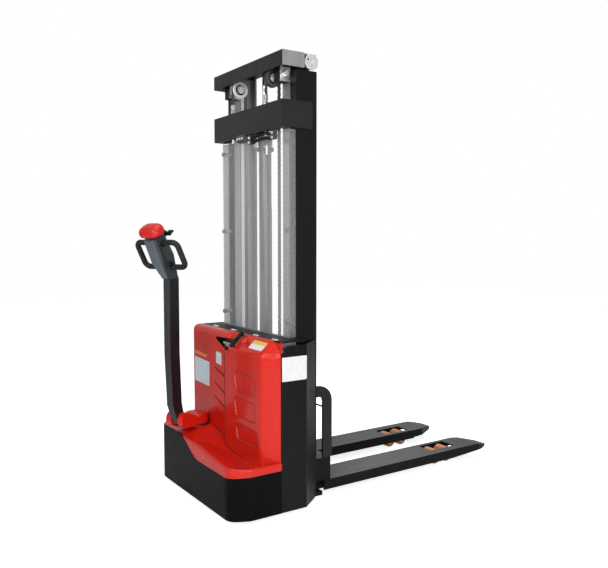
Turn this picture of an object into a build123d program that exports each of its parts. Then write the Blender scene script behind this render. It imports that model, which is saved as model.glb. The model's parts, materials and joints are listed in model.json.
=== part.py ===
"""Walkie stacker: a pedestrian-operated electric lift truck with a two-stage mast.

+X runs along the forks, +Z is up, millimetres. The origin is on the floor, at the centre of the
bounding box. "Left" is +Y. Forks are lowered, the tiller stands upright and is turned by rest_steer.
"""
import os
from math import cos, radians, sin

from build123d import *

os.makedirs("parts", exist_ok=True)

# ---------------------------------------------------------------- overall sizes
fork_length = 1125.0       # backrest face to fork tip
body_reach = 798.7         # backrest face to the outermost point of the tiller head
floor_gap = 30.0           # skirt, side plates and legs above the floor
running_gap = 0.3          # clearance between faces that move past each other
shaft_gap = 0.05           # radial clearance of a shaft in its bore
sheet = 8.0                # chassis and beam plate
heel_x = (body_reach - fork_length) / 2

# ---------------------------------------------------------------- mast
mast_gap = 112.0           # backrest face to the back of the outer mast
mast_depth = 112.0
mast_width = 652.0
mast_web = 12.0
mast_flange = 12.0
mast_flange_width = 50.0
lower_beam_top = 1872.0
beam_spacing = 215.0       # top of the lower beam to the top of the upper beam
head_top = lower_beam_top + beam_spacing
mast_overrun = 140.0       # channels above the lower beam
mast_top = lower_beam_top + mast_overrun
mast_back_x = heel_x - mast_gap
mast_front_x = mast_back_x - mast_depth
mast_x = mast_back_x - mast_depth / 2
mast_y = mast_width / 2    # outer face of each channel
channel_inner_y = mast_y - mast_flange_width

foot_thickness = 20.0
foot_top = floor_gap + foot_thickness
foot_overhang = 16.0
foot_reach = 37.0          # how far the foot runs back past the mast, where the legs are welded on

inner_gap = 4.0            # between the inner mast and the outer flange tips
inner_depth = 104.0
inner_width = 60.0         # flange width of the inner mast's I section
inner_flange = 10.0
inner_web = 10.0
inner_bottom = foot_top + 10.0
beam_plate = 10.0          # front plates of the two cross beams
beam_reach = 78.0          # beam front ahead of the mast front
upper_beam_height = 68.0
upper_beam_return = 119.0
lower_beam_height = 122.0
lower_beam_return = 162.0
ledge_width = 22.0
inner_outer_y = channel_inner_y - inner_gap
inner_inner_y = inner_outer_y - inner_width
inner_web_y = inner_outer_y - inner_width / 2 + 6
inner_front_x = mast_x - inner_depth / 2
inner_top = head_top - sheet
beam_front_x = mast_front_x - beam_reach
beam_y = mast_y + sheet

# ---------------------------------------------------------------- rollers of the mast
roller_axle_r = 15.0
mast_roller_r = mast_depth / 2 - mast_flange - running_gap
inner_roller_r = inner_depth / 2 - inner_flange - running_gap
mast_roller_width = 26.0
head_roller_width = 19.0
carriage_roller_width = 20.0
mast_roller_z = 140.0
head_roller_drop = 137.0
head_roller_z = head_top - head_roller_drop
carriage_roller_z = (130.0, 430.0)

# ---------------------------------------------------------------- lift cylinder
cylinder_setback = 24.0    # cylinder axis ahead of the mast's middle
barrel_r = 32.0
barrel_bore_r = 27.0
rod_r = 14.0
gland_r = 37.0
gland_height = 44.0
barrel_base = 40.0
piston_height = 35.0
cylinder_x = mast_x - cylinder_setback
gland_top = lower_beam_top - lower_beam_height
gland_bottom = gland_top - gland_height

# ---------------------------------------------------------------- chains and sheaves
chain_y = 161.0
chain_pitch_r = 36.0
chain_depth = 12.0
chain_width = 16.0
sheave_r = 42.0
sheave_width = 26.0
sheave_setback = 24.0      # sheave axis ahead of the mast front
sheave_drop = 90.0         # sheave axis below the head
sheave_axle_r = 12.5
sheave_x = mast_front_x - sheave_setback
sheave_z = head_top - sheave_drop
front_run_x = sheave_x - chain_pitch_r
rear_run_x = sheave_x + chain_pitch_r
axle_end_y = 290.0
bracket_height = 66.0
disc_r = 36.0
disc_hole_r = 5.0
disc_hub_r = 13.0
disc_thickness = 8.0
disc_drop = 36.5           # disc centre below the head
disc_ahead = 23.0          # disc centre behind the mast's middle
disc_x = mast_x + disc_ahead
disc_z = head_top - disc_drop
tie_thickness = 10.0
tie_height = 140.0
tie_back_x = cylinder_x - barrel_r - 2
tie_front_x = tie_back_x - tie_thickness
anchor_clevis = 26.0
anchor_rod_r = 6.0
anchor_height = 48.0
front_run_bottom = lower_beam_top + anchor_height
lug_top = 330.0
lug_height = 30.0

# ---------------------------------------------------------------- carriage, forks and legs
fork_width = 172.0
fork_spread = 582.0        # outside to outside
fork_top = 85.0
fork_plate = 8.0
fork_seat = 2.0            # step in the blade's top under the carriage beam
fork_skirt_bottom = 35.0
fork_tip_length = 130.0
fork_tip_width = 84.0
seat_relief = 0.5          # seat of the beam behind the load face
fork_slope_length = 290.0
fork_droop_length = 95.0
hollow_inset = 140.0
fork_rear_run = 40.0       # how far the blade runs under the carriage, behind the backrest face
window_length = 180.0
window_width = 92.0
window_centre = 810.0      # from the backrest face
window_inset = 14.0        # window centre inboard of the blade's centre
fork_y = fork_spread / 2 - fork_width / 2
window_y = fork_y - window_inset
carriage_beam_depth = 85.0
carriage_beam_top = 196.0
carriage_beam_half = 286.0
carriage_plate = 15.0
carriage_plate_gap = 7.0   # carriage side plate to the inner mast
carriage_top = 500.0
top_bar_depth = 25.0
top_bar_height = 40.0
carriage_y = inner_inner_y - carriage_plate_gap
carriage_beam_x = heel_x - carriage_beam_depth
top_bar_x = heel_x - 100.0

hoop_plate = 12.0
hoop_width = 52.0
hoop_r = 75.0
hoop_top = 547.0
hoop_front_x = heel_x + 8.0
hoop_back_x = mast_back_x + 10.0
hoop_y = carriage_beam_half - hoop_plate / 2
rail_r = 4.0
rail_heights = (435.0, 492.0)

leg_width = 120.0
leg_plate = 8.0
leg_top = 70.0
leg_tip = 940.0            # from the backrest face
leg_tip_taper = 45.0
leg_y = window_y
load_roller_r = 40.0
load_roller_width = 74.0
load_roller_spacing = 88.0
load_axle_r = 10.0
leg_start_x = mast_back_x + foot_reach

# ---------------------------------------------------------------- chassis
chassis_width = 820.0
chassis_reach = 376.0      # skirt front ahead of the mast front
nose_half_width = 370.0
nose_chamfer = 85.0
skirt_corner_r = 30.0
skirt_low = 218.0
skirt_high = 303.0
skirt_step_y = (-30.0, 178.0)
side_plate_length = 132.0
side_plate_top = 780.0
side_plate_corner_r = 55.0
side_return_inset = 12.0
chassis_y = chassis_width / 2
nose_x = mast_front_x - chassis_reach
side_front_x = mast_front_x - side_plate_length
inside_y = chassis_y - sheet
floor_plate_z = 196.0
floor_plate_thickness = 10.0
floor_plate_top = floor_plate_z + floor_plate_thickness

hood_depth = 181.0         # hood front ahead of the mast front
hood_step = 22.0           # raised panel on the right half
hood_wall = 4.0
hood_top = 800.0
hood_split_y = 2.0
hood_edge_z = 735.0        # lower edge of the sloped facet
deck_depth = 133.0
deck_thickness = 8.0
hood_front_x = mast_front_x - hood_depth
hood_panel_x = hood_front_x - hood_step
deck_front_x = mast_front_x - deck_depth
hood_y = inside_y - 0.5
cover_inset = 1.0
cover_wall = 4.0
cover_high = 316.0
cover_mid = 292.0
cover_low = 262.0
stop_y = -164.0
stop_r = 17.0
stop_stem_r = 9.0
stop_collar = 5.0
stop_travel = 6.0
stop_height = 11.0
handle_y = -84.0
handle_length = 96.0
handle_width = 22.0
handle_thickness = 12.0
handle_lift = 10.0
handle_travel = 25.0
handle_post_r = 5.0
handle_posts = (-34.0, 34.0)
display_size = (104.0, 46.0)
display_thickness = 8.0
battery_start = 30.0       # from the hood's middle split
battery_margin = 35.5      # to the hood's side wall
battery_height = 215.0
battery_size = (hood_y - hood_wall - battery_margin - hood_split_y - battery_start, battery_height)
tank_width = 150.0
tank_height = 270.0
pump_motor_r = 55.0
pump_motor_height = 190.0
pump_block_height = 60.0
controller_size = (100.0, 180.0, 45.0)
controller_gap = 8.0       # controller to the inner mast's tie plate
guard_standoff = 39.0
guard_thickness = 4.0
guard_half = 322.0
guard_x = mast_front_x - guard_standoff
guard_bolt_inset = (70.0, 60.0)
guard_bolt_z = (
    hood_top + guard_bolt_inset[0],
    (hood_top + gland_top) / 2 + 15,
    gland_top - guard_bolt_inset[1],
)
guard_bolt_r = 6.0

# ---------------------------------------------------------------- drive unit, caster and tiller
steer_setback = 135.0      # steering axis behind the skirt front
steer_y = 234.0
rest_steer = radians(25)
steer_x = nose_x + steer_setback
drive_wheel_r = 105.0
drive_wheel_width = 70.0
drive_axle_r = 12.0
bearing_outer_r = 105.0
bearing_inner_r = 90.0
bearing_height = 20.0
bearing_top = floor_plate_top + bearing_height
unit_top = bearing_top + 2
gear_case_width = 52.0
motor_r = 48.0
motor_height = 88.0
column_outer_r = 57.0
column_inner_r = 50.0
hump_width = 104.0
hump_bottom = 324.0
slot_width = 43.0
slot_floor = 8.0
pivot_reach = 137.0        # tilt pivot from the steering axis
pivot_z = 366.0
pivot_r = 10.0
caster_x = steer_x
caster_inset = 140.0       # caster axis to the skirt's side
caster_y = caster_inset - chassis_y
caster_wheel_r = 75.0
caster_wheel_width = 45.0
caster_trail = 38.0
caster_axle_r = 8.0
caster_stem_r = 20.0

arm_reach = 180.0          # arm centre from the steering axis
arm_depth = 68.0
arm_width = 39.0
arm_top = 1062.0
arm_straight_z = 700.0
arm_root_z = 445.0
head_lean = radians(30)
head_length = 230.0
grip_half = 125.0
grip_r = 13.5
button_travel = 8.0
button_height = 52.0
button_across = 122.0
button_deep = 84.0
button_round = 20.0
button_stem_r = 10.0
button_bore = 18.0
neck_size = (40.0, 68.0)   # across, deep
head_mid_size = (76.0, 104.0)
head_mid = 110.0
head_top_size = (80.0, 90.0)
head_sink = 45.0           # how far the head's shape runs down before it is cut off at the arm
grip_low = 66.0
grip_high = 200.0
grip_corner_r = 28.0
lever_at = 215.0
lever_out = 58.0
lever_axle_r = 5.0
lever_boss = 15.0
lever_inner = 22.0
lever_outer = 50.0
lever_reach = 27.0
lever_hub_r = 10.0
rocker_at = 152.0
rocker_out = 45.0
rocker_pin_r = 3.0
rocker_size = (24.0, 34.0)
rocker_top = 53.5
rocker_bottom = 42.0
pocket_bottom = 38.0
pocket_gap = 1.6
horn_at = 112.0
horn_r = 8.0
horn_top = 56.0
horn_bottom = 42.0
lobe_r = 36.0

# Steering frame: x points outward to the operator, z is up.
outward = Vector(-cos(rest_steer), -sin(rest_steer), 0)
sideways = Vector(-sin(rest_steer), cos(rest_steer), 0)
steer = Plane(origin=(steer_x, steer_y, 0), x_dir=outward, z_dir=(0, 0, 1))
steer_side = Plane(origin=(steer_x, steer_y, 0), x_dir=outward, z_dir=sideways)

# Head frame: x across, z along the head, y on the face that turns down when the tiller is lowered.
head_axis = outward * sin(head_lean) + Vector(0, 0, 1) * cos(head_lean)
head_face = outward * cos(head_lean) - Vector(0, 0, 1) * sin(head_lean)
neck = Vector(steer_x, steer_y, arm_top) + outward * arm_reach
head = Plane(origin=neck, x_dir=sideways, z_dir=head_axis)
head_front = Plane(origin=neck, x_dir=sideways, z_dir=head_face * -1)
head_side = Plane(origin=neck, x_dir=head_axis, z_dir=sideways)


def head_point(across, along, out):
    """A point in the head frame."""
    return neck + sideways * across + head_axis * along + head_face * out


SIDES = (("left", 1), ("right", -1))
tie_notch = mast_front_x - tie_front_x + 2

# ================================================================ chassis
skirt_path = [
    (side_front_x, -chassis_y),
    (nose_x + nose_chamfer, -chassis_y),
    (nose_x, -nose_half_width),
    (nose_x, nose_half_width),
    (nose_x + nose_chamfer, chassis_y),
    (side_front_x, chassis_y),
]
above = hood_top
with BuildSketch() as chassis_outline:
    with BuildLine():
        FilletPolyline(*skirt_path, radius=skirt_corner_r)
        Line(skirt_path[-1], skirt_path[0])
    make_face()

with BuildPart() as chassis_skirt:
    with BuildSketch(Plane.XY.offset(floor_gap)):
        add(chassis_outline.sketch)
    extrude(amount=skirt_high - floor_gap)
    with BuildSketch(Plane.XY.offset(floor_gap)):
        offset(chassis_outline.sketch, amount=-sheet, kind=Kind.INTERSECTION)
        with Locations((side_front_x - sheet, 0)):
            Rectangle(4 * sheet, 2 * inside_y)
    extrude(amount=skirt_high - floor_gap, mode=Mode.SUBTRACT)
    with BuildSketch(Plane.YZ.offset(nose_x - sheet)):
        with BuildLine():
            Polyline(
                (-chassis_y - sheet, skirt_low),
                (skirt_step_y[0], skirt_low),
                (skirt_step_y[1], skirt_high),
                (skirt_step_y[1], above),
                (-chassis_y - sheet, above),
                close=True,
            )
        make_face()
    extrude(amount=chassis_reach, mode=Mode.SUBTRACT)
chassis_skirt.part.label = "chassis_skirt"
export_step(chassis_skirt.part, "parts/chassis_skirt.step")

with BuildPart() as side_plates:
    for side, sign in SIDES:
        with BuildSketch(Plane.XY.offset(floor_gap)):
            with BuildLine():
                Polyline(
                    (side_front_x, sign * chassis_y),
                    (mast_front_x, sign * chassis_y),
                    (mast_back_x - side_return_inset, sign * (mast_y + sheet)),
                    (mast_back_x - side_return_inset, sign * mast_y),
                    (mast_front_x, sign * (chassis_y - sheet)),
                    (side_front_x, sign * (chassis_y - sheet)),
                    close=True,
                )
            make_face()
        extrude(amount=side_plate_top - floor_gap)
    front_top = side_plates.edges().filter_by(Axis.Y).group_by(Axis.X)[0].group_by(Axis.Z)[-1]
    fillet(front_top, side_plate_corner_r)
side_plates.part.label = "side_plates"
export_step(side_plates.part, "parts/side_plates.step")

with BuildPart() as floor_plate:
    with BuildSketch(Plane.XY.offset(floor_plate_z)):
        offset(chassis_outline.sketch, amount=-sheet, kind=Kind.INTERSECTION)
        with Locations(((side_front_x + mast_front_x) / 2 - sheet, 0)):
            Rectangle(side_plate_length + 2 * sheet, 2 * inside_y)
        with Locations((mast_front_x, 0)):
            Rectangle(2 * sheet, 2 * inside_y, align=(Align.MIN, Align.CENTER), mode=Mode.SUBTRACT)
        with Locations((mast_front_x, 0)):
            Rectangle(2 * tie_notch, 2 * inner_outer_y, mode=Mode.SUBTRACT)
        with Locations((steer_x, steer_y)):
            Circle(bearing_inner_r + 2, mode=Mode.SUBTRACT)
        with Locations((caster_x, caster_y)):
            Circle(caster_stem_r + shaft_gap, mode=Mode.SUBTRACT)
    extrude(amount=floor_plate_thickness)
floor_plate.part.label = "floor_plate"
export_step(floor_plate.part, "parts/floor_plate.step")

cover_front_x = nose_x + sheet + cover_inset
cover_y = inside_y - cover_inset
cover_roof = [
    (-cover_y, cover_low),
    (hood_split_y, cover_low),
    (steer_y / 4, cover_mid),
    (skirt_step_y[1], cover_high),
    (cover_y, cover_high),
]
with BuildPart() as drive_cover:
    with BuildSketch(Plane.XY.offset(floor_plate_top)):
        offset(chassis_outline.sketch, amount=-sheet - cover_inset, kind=Kind.INTERSECTION)
    extrude(amount=cover_high - floor_plate_top)
    with BuildSketch(Plane.YZ.offset(nose_x)):
        with BuildLine():
            Polyline(*cover_roof, (cover_y, above), (-cover_y, above), close=True)
        make_face()
    extrude(amount=chassis_reach, mode=Mode.SUBTRACT)
    with BuildSketch(Plane.XY.offset(floor_plate_top)):
        offset(chassis_outline.sketch, amount=-sheet - cover_inset - cover_wall, kind=Kind.INTERSECTION)
    extrude(amount=cover_high - floor_plate_top, mode=Mode.SUBTRACT)
    with BuildSketch(Plane.YZ.offset(cover_front_x + cover_wall)):
        with BuildLine():
            Polyline(*cover_roof, *[(y, z - cover_wall) for y, z in reversed(cover_roof)], close=True)
        make_face()
    extrude(amount=hood_front_x - cover_front_x - cover_wall)
    with BuildSketch(Plane.XY.offset(floor_plate_top)):
        offset(chassis_outline.sketch, amount=-sheet - cover_inset, kind=Kind.INTERSECTION)
        with Locations((hood_front_x, 0)):
            Rectangle(chassis_reach, chassis_width, align=(Align.MIN, Align.CENTER), mode=Mode.SUBTRACT)
    extrude(amount=cover_high, mode=Mode.INTERSECT)
    with BuildSketch(steer.offset(floor_plate_top)):
        Circle(column_outer_r + 2)
    extrude(amount=cover_high, mode=Mode.SUBTRACT)
drive_cover.part.label = "drive_cover"
export_step(drive_cover.part, "parts/drive_cover.step")


facet_top_x = deck_front_x - 2
panel_bottom = cover_low + running_gap


def hood_profile(inset):
    """Side view of the hood's left half: upright front and flat top."""
    return [
        (deck_front_x, floor_plate_top),
        (hood_front_x + inset, floor_plate_top),
        (hood_front_x + inset, hood_top - skirt_corner_r / 2 - inset),
        (hood_front_x + skirt_corner_r / 2 + inset, hood_top - inset),
        (deck_front_x, hood_top - inset),
    ]


def panel_profile(inset):
    """Side view of the right half: a raised front panel with a sloped facet above it."""
    return [
        (deck_front_x, floor_plate_top),
        (hood_front_x + inset, floor_plate_top),
        (hood_front_x + inset, panel_bottom + inset),
        (hood_panel_x + inset, panel_bottom + inset),
        (hood_panel_x + inset, hood_edge_z - inset / 2),
        (facet_top_x, hood_top - 1.4 * inset),
        (deck_front_x, hood_top - 1.4 * inset),
    ]


# Facet frame: x up the slope, y to the left, z out of the hood.
facet_rise = hood_top - hood_edge_z
facet_run = facet_top_x - hood_panel_x
facet = Plane(
    origin=((hood_panel_x + facet_top_x) / 2, 0, (hood_edge_z + hood_top) / 2),
    x_dir=(facet_run, 0, facet_rise),
    z_dir=(-facet_rise, 0, facet_run),
)
with BuildPart() as hood:
    with BuildSketch(Plane.XZ.offset(-hood_y)):
        with BuildLine():
            Polyline(*hood_profile(0), close=True)
        make_face()
    extrude(amount=hood_y - hood_split_y)
    with BuildSketch(Plane.XZ.offset(-hood_split_y)):
        with BuildLine():
            Polyline(*panel_profile(0), close=True)
        make_face()
    extrude(amount=hood_y + hood_split_y)
    with BuildSketch(Plane.XZ.offset(hood_wall - hood_y)):
        with BuildLine():
            Polyline(*hood_profile(hood_wall), close=True)
        make_face()
    extrude(amount=2 * hood_y - 2 * hood_wall, mode=Mode.SUBTRACT)
    with BuildSketch(Plane.XZ.offset(hood_wall - hood_split_y)):
        with BuildLine():
            Polyline(*panel_profile(hood_wall), close=True)
        make_face()
    extrude(amount=hood_y + hood_split_y - 2 * hood_wall, mode=Mode.SUBTRACT)
    with BuildSketch(facet):
        with Locations((0, stop_y)):
            Circle(stop_stem_r + shaft_gap)
        with Locations(*[(x, handle_y) for x in handle_posts]):
            Circle(handle_post_r + shaft_gap)
    extrude(amount=5 * hood_wall, both=True, mode=Mode.SUBTRACT)
    with BuildSketch(steer.offset(floor_plate_top)):
        Circle(bearing_outer_r + 1)
    extrude(amount=unit_top + 1 - floor_plate_top, mode=Mode.SUBTRACT)
hood.part.label = "hood"
export_step(hood.part, "parts/hood.step")

with BuildPart() as deck_plate:
    with BuildSketch(Plane.XY.offset(hood_top - deck_thickness)):
        with Locations(((deck_front_x + mast_front_x) / 2, 0)):
            Rectangle(mast_front_x - deck_front_x, 2 * hood_y)
        with Locations((mast_front_x, 0)):
            Rectangle(2 * tie_notch, 2 * inner_outer_y, mode=Mode.SUBTRACT)
    extrude(amount=deck_thickness)
deck_plate.part.label = "deck_plate"
export_step(deck_plate.part, "parts/deck_plate.step")

# The instrument panel, the emergency stop and the disconnect handle sit on the front of the hood.
with BuildPart() as instrument_panel:
    with BuildSketch(Plane.YZ.offset(hood_front_x - display_thickness)):
        with Locations((hood_split_y + display_size[0] / 2 + hood_wall, hood_edge_z)):
            RectangleRounded(*display_size, 6)
    extrude(amount=display_thickness)
    with BuildSketch(facet):
        with Locations((0, stop_y)):
            Circle(stop_r + 3)
            Circle(stop_stem_r + shaft_gap, mode=Mode.SUBTRACT)
    extrude(amount=stop_collar)
instrument_panel.part.label = "instrument_panel"
export_step(instrument_panel.part, "parts/instrument_panel.step")

with BuildPart() as emergency_stop:
    with BuildSketch(facet.offset(stop_collar + stop_travel + running_gap)):
        with Locations((0, stop_y)):
            Circle(stop_r)
    extrude(amount=stop_height)
    fillet(emergency_stop.edges().filter_by(GeomType.CIRCLE), stop_height / 3)
    with BuildSketch(facet.offset(-4 * hood_wall)):
        with Locations((0, stop_y)):
            Circle(stop_stem_r)
    extrude(amount=4 * hood_wall + stop_collar + stop_travel + stop_height / 2)
emergency_stop.part.label = "emergency_stop"
export_step(emergency_stop.part, "parts/emergency_stop.step")

with BuildPart() as disconnect_handle:
    with BuildSketch(facet.offset(handle_lift)):
        with Locations((0, handle_y)):
            RectangleRounded(handle_length, handle_width, handle_width / 2 - 1)
    extrude(amount=handle_thickness)
    with BuildSketch(facet.offset(-6 * hood_wall - handle_travel)):
        with Locations(*[(x, handle_y) for x in handle_posts]):
            Circle(handle_post_r)
    extrude(amount=6 * hood_wall + handle_travel + handle_lift + handle_thickness / 2)
disconnect_handle.part.label = "disconnect_handle"
export_step(disconnect_handle.part, "parts/disconnect_handle.step")

# ---------------------------------------------------------------- power pack under the hood
bay_front_x = hood_front_x + hood_wall + 5
bay_back_x = tie_front_x - 5
battery_mid_y = hood_split_y + battery_start + battery_size[0] / 2
with BuildPart() as batteries:
    for level in range(2):
        base = unit_top + 2 + level * battery_size[1]
        with BuildSketch(Plane.XY.offset(base)):
            with Locations(((bay_front_x + bay_back_x) / 2, battery_mid_y)):
                RectangleRounded(bay_back_x - bay_front_x, battery_size[0], 8)
        extrude(amount=battery_size[1])
    with BuildSketch(Plane.XY.offset(floor_plate_top)):
        with Locations((bay_back_x, battery_mid_y)):
            Rectangle(
                bay_back_x - steer_x - bearing_outer_r - 2,
                battery_size[0],
                align=(Align.MAX, Align.CENTER),
            )
    extrude(amount=unit_top + 2 - floor_plate_top)
batteries.part.label = "batteries"
export_step(batteries.part, "parts/batteries.step")

tank_y = -inside_y + 50
with BuildPart() as pump_unit:
    with BuildSketch(Plane.XY.offset(floor_plate_top)):
        with Locations(((bay_front_x + bay_back_x) / 2, tank_y)):
            RectangleRounded(
                bay_back_x - bay_front_x, tank_width, 12, align=(Align.CENTER, Align.MIN)
            )
    extrude(amount=tank_height)
    with BuildSketch(Plane.XY.offset(floor_plate_top)):
        with Locations(((bay_front_x + bay_back_x) / 2, tank_y + tank_width)):
            Rectangle(2 * pump_motor_r, 2 * pump_motor_r + 10, align=(Align.CENTER, Align.MIN))
    extrude(amount=pump_block_height)
    with BuildSketch(Plane.XY.offset(floor_plate_top + pump_block_height)):
        with Locations(((bay_front_x + bay_back_x) / 2, tank_y + tank_width + pump_motor_r + 5)):
            Circle(pump_motor_r)
    extrude(amount=pump_motor_height)
pump_unit.part.label = "pump_unit"
export_step(pump_unit.part, "parts/pump_unit.step")

with BuildPart() as controller:
    with BuildSketch(Plane.XY.offset(hood_top - deck_thickness)):
        with Locations((tie_front_x - controller_gap, tank_y)):
            Rectangle(controller_size[0], controller_size[1], align=(Align.MAX, Align.MIN))
    extrude(amount=-controller_size[2])
controller.part.label = "controller"
export_step(controller.part, "parts/controller.step")

# ================================================================ outer mast
with BuildPart() as mast_foot:
    with BuildSketch(Plane.XY.offset(floor_gap)):
        with Locations((mast_front_x - foot_overhang, 0)):
            Rectangle(
                mast_depth + foot_overhang + foot_reach, 2 * mast_y, align=(Align.MIN, Align.CENTER)
            )
    extrude(amount=foot_thickness)
mast_foot.part.label = "mast_foot"
export_step(mast_foot.part, "parts/mast_foot.step")

for side, sign in SIDES:
    with BuildPart() as outer_channel:
        with BuildSketch(Plane.XY.offset(foot_top)):
            with Locations((mast_x, sign * (mast_y - mast_flange_width / 2))):
                Rectangle(mast_depth, mast_flange_width)
            with Locations((mast_x, sign * (mast_y - mast_web - mast_flange_width / 2))):
                Rectangle(mast_depth - 2 * mast_flange, mast_flange_width, mode=Mode.SUBTRACT)
        extrude(amount=mast_top - foot_top)
        with BuildSketch(Plane.XZ.offset(-sign * (mast_y - mast_web))):
            with Locations((mast_x, head_roller_z)):
                Circle(roller_axle_r)
        extrude(amount=sign * (mast_y - mast_web - inner_web_y - inner_web / 2 - 2 * running_gap))
        with Locations(*[(mast_front_x + mast_flange / 2, sign * (mast_y - 18), z) for z in guard_bolt_z]):
            Cylinder(guard_bolt_r, mast_flange, rotation=(0, 90, 0), mode=Mode.SUBTRACT)
    outer_channel.part.label = f"outer_mast_{side}"
    export_step(outer_channel.part, f"parts/outer_mast_{side}.step")

    with BuildPart() as head_roller:
        with BuildSketch(Plane.XZ.offset(-sign * (inner_web_y + inner_web / 2 + 3 * running_gap))):
            with Locations((mast_x, head_roller_z)):
                Circle(inner_roller_r)
                Circle(roller_axle_r + shaft_gap, mode=Mode.SUBTRACT)
        extrude(amount=-sign * head_roller_width)
    head_roller.part.label = f"head_roller_{side}"
    export_step(head_roller.part, f"parts/head_roller_{side}.step")

with BuildPart() as outer_mast_beam:
    with BuildSketch(Plane.XY.offset(lower_beam_top - lower_beam_height)):
        with Locations((beam_front_x, 0)):
            Rectangle(lower_beam_return, 2 * beam_y, align=(Align.MIN, Align.CENTER))
        with Locations((beam_front_x + beam_plate, 0)):
            Rectangle(lower_beam_return, 2 * mast_y, align=(Align.MIN, Align.CENTER), mode=Mode.SUBTRACT)
    extrude(amount=lower_beam_height)
    for ledge_z in (lower_beam_top - sheet, lower_beam_top - lower_beam_height):
        with BuildSketch(Plane.XY.offset(ledge_z)):
            with Locations((beam_front_x + beam_plate, 0)):
                Rectangle(ledge_width, 2 * mast_y, align=(Align.MIN, Align.CENTER))
            with Locations((front_run_x, chain_y), (front_run_x, -chain_y)):
                Circle(anchor_rod_r, mode=Mode.SUBTRACT)
        extrude(amount=sheet)
    with BuildSketch(Plane.XY.offset(lower_beam_top - lower_beam_height)):
        with BuildLine():
            Polyline(
                (beam_front_x + beam_plate, -2 * gland_r),
                (cylinder_x, -gland_r),
                (cylinder_x + gland_r, 0),
                (cylinder_x, gland_r),
                (beam_front_x + beam_plate, 2 * gland_r),
                close=True,
            )
        make_face()
        with Locations((cylinder_x, 0)):
            Circle(rod_r + 2, mode=Mode.SUBTRACT)
    extrude(amount=sheet)
outer_mast_beam.part.label = "outer_mast_beam"
export_step(outer_mast_beam.part, "parts/outer_mast_beam.step")

with BuildPart() as mast_guard:
    with BuildSketch(Plane.YZ.offset(guard_x)):
        with Locations((0, (hood_top + gland_top - 5) / 2)):
            Rectangle(2 * guard_half, gland_top - 5 - hood_top)
        with Locations(*[(sign * (mast_y - 18), z) for _, sign in SIDES for z in guard_bolt_z]):
            Circle(guard_bolt_r, mode=Mode.SUBTRACT)
    extrude(amount=guard_thickness)
mast_guard.part.label = "mast_guard"
export_step(mast_guard.part, "parts/mast_guard.step")

with BuildPart() as guard_bolts:
    with BuildSketch(Plane.YZ.offset(guard_x)):
        with Locations(*[(sign * (mast_y - 18), z) for _, sign in SIDES for z in guard_bolt_z]):
            Circle(guard_bolt_r)
    extrude(amount=guard_standoff + mast_flange)
    with BuildSketch(Plane.YZ.offset(guard_x - guard_bolt_r)):
        with Locations(*[(sign * (mast_y - 18), z) for _, sign in SIDES for z in guard_bolt_z]):
            RegularPolygon(2 * guard_bolt_r - 1, 6)
    extrude(amount=guard_bolt_r)
    with BuildSketch(Plane.YZ.offset(guard_x + guard_thickness)):
        with Locations(*[(sign * (mast_y - 18), z) for _, sign in SIDES for z in guard_bolt_z]):
            Circle(2 * guard_bolt_r - 2)
    extrude(amount=guard_standoff - guard_thickness)
guard_bolts.part.label = "guard_bolts"
export_step(guard_bolts.part, "parts/guard_bolts.step")

with BuildPart() as cylinder_barrel:
    with BuildSketch(Plane.XY.offset(foot_top)):
        with Locations((cylinder_x, 0)):
            Circle(barrel_r)
    extrude(amount=gland_bottom - foot_top)
    with BuildSketch(Plane.XY.offset(gland_bottom)):
        with Locations((cylinder_x, 0)):
            Circle(gland_r)
    extrude(amount=gland_height)
    with BuildSketch(Plane.XY.offset(foot_top + barrel_base)):
        with Locations((cylinder_x, 0)):
            Circle(barrel_bore_r)
    extrude(amount=gland_bottom - foot_top - barrel_base, mode=Mode.SUBTRACT)
    with BuildSketch(Plane.XY.offset(gland_bottom)):
        with Locations((cylinder_x, 0)):
            Circle(rod_r + shaft_gap)
    extrude(amount=gland_height, mode=Mode.SUBTRACT)
cylinder_barrel.part.label = "cylinder_barrel"
export_step(cylinder_barrel.part, "parts/cylinder_barrel.step")

with BuildPart() as chain_anchors:
    with BuildSketch(Plane.XY.offset(lower_beam_top - 2 * sheet)):
        with Locations((front_run_x, chain_y), (front_run_x, -chain_y)):
            Circle(anchor_rod_r)
    extrude(amount=front_run_bottom - anchor_clevis - lower_beam_top + 2 * sheet)
    with BuildSketch(Plane.XY.offset(lower_beam_top)):
        with Locations((front_run_x, chain_y), (front_run_x, -chain_y)):
            RegularPolygon(anchor_rod_r + 2, 6)
    extrude(amount=sheet)
    with BuildSketch(Plane.XY.offset(front_run_bottom - anchor_clevis)):
        with Locations((front_run_x, chain_y), (front_run_x, -chain_y)):
            Rectangle(chain_depth, chain_width + 4)
    extrude(amount=anchor_clevis)
chain_anchors.part.label = "chain_anchors"
export_step(chain_anchors.part, "parts/chain_anchors.step")

with BuildPart() as chain_front_runs:
    with BuildSketch(Plane.XY.offset(front_run_bottom)):
        with Locations((front_run_x, chain_y), (front_run_x, -chain_y)):
            Rectangle(chain_depth, chain_width)
    extrude(amount=sheave_z - front_run_bottom)
chain_front_runs.part.label = "chain_front_runs"
export_step(chain_front_runs.part, "parts/chain_front_runs.step")

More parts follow.
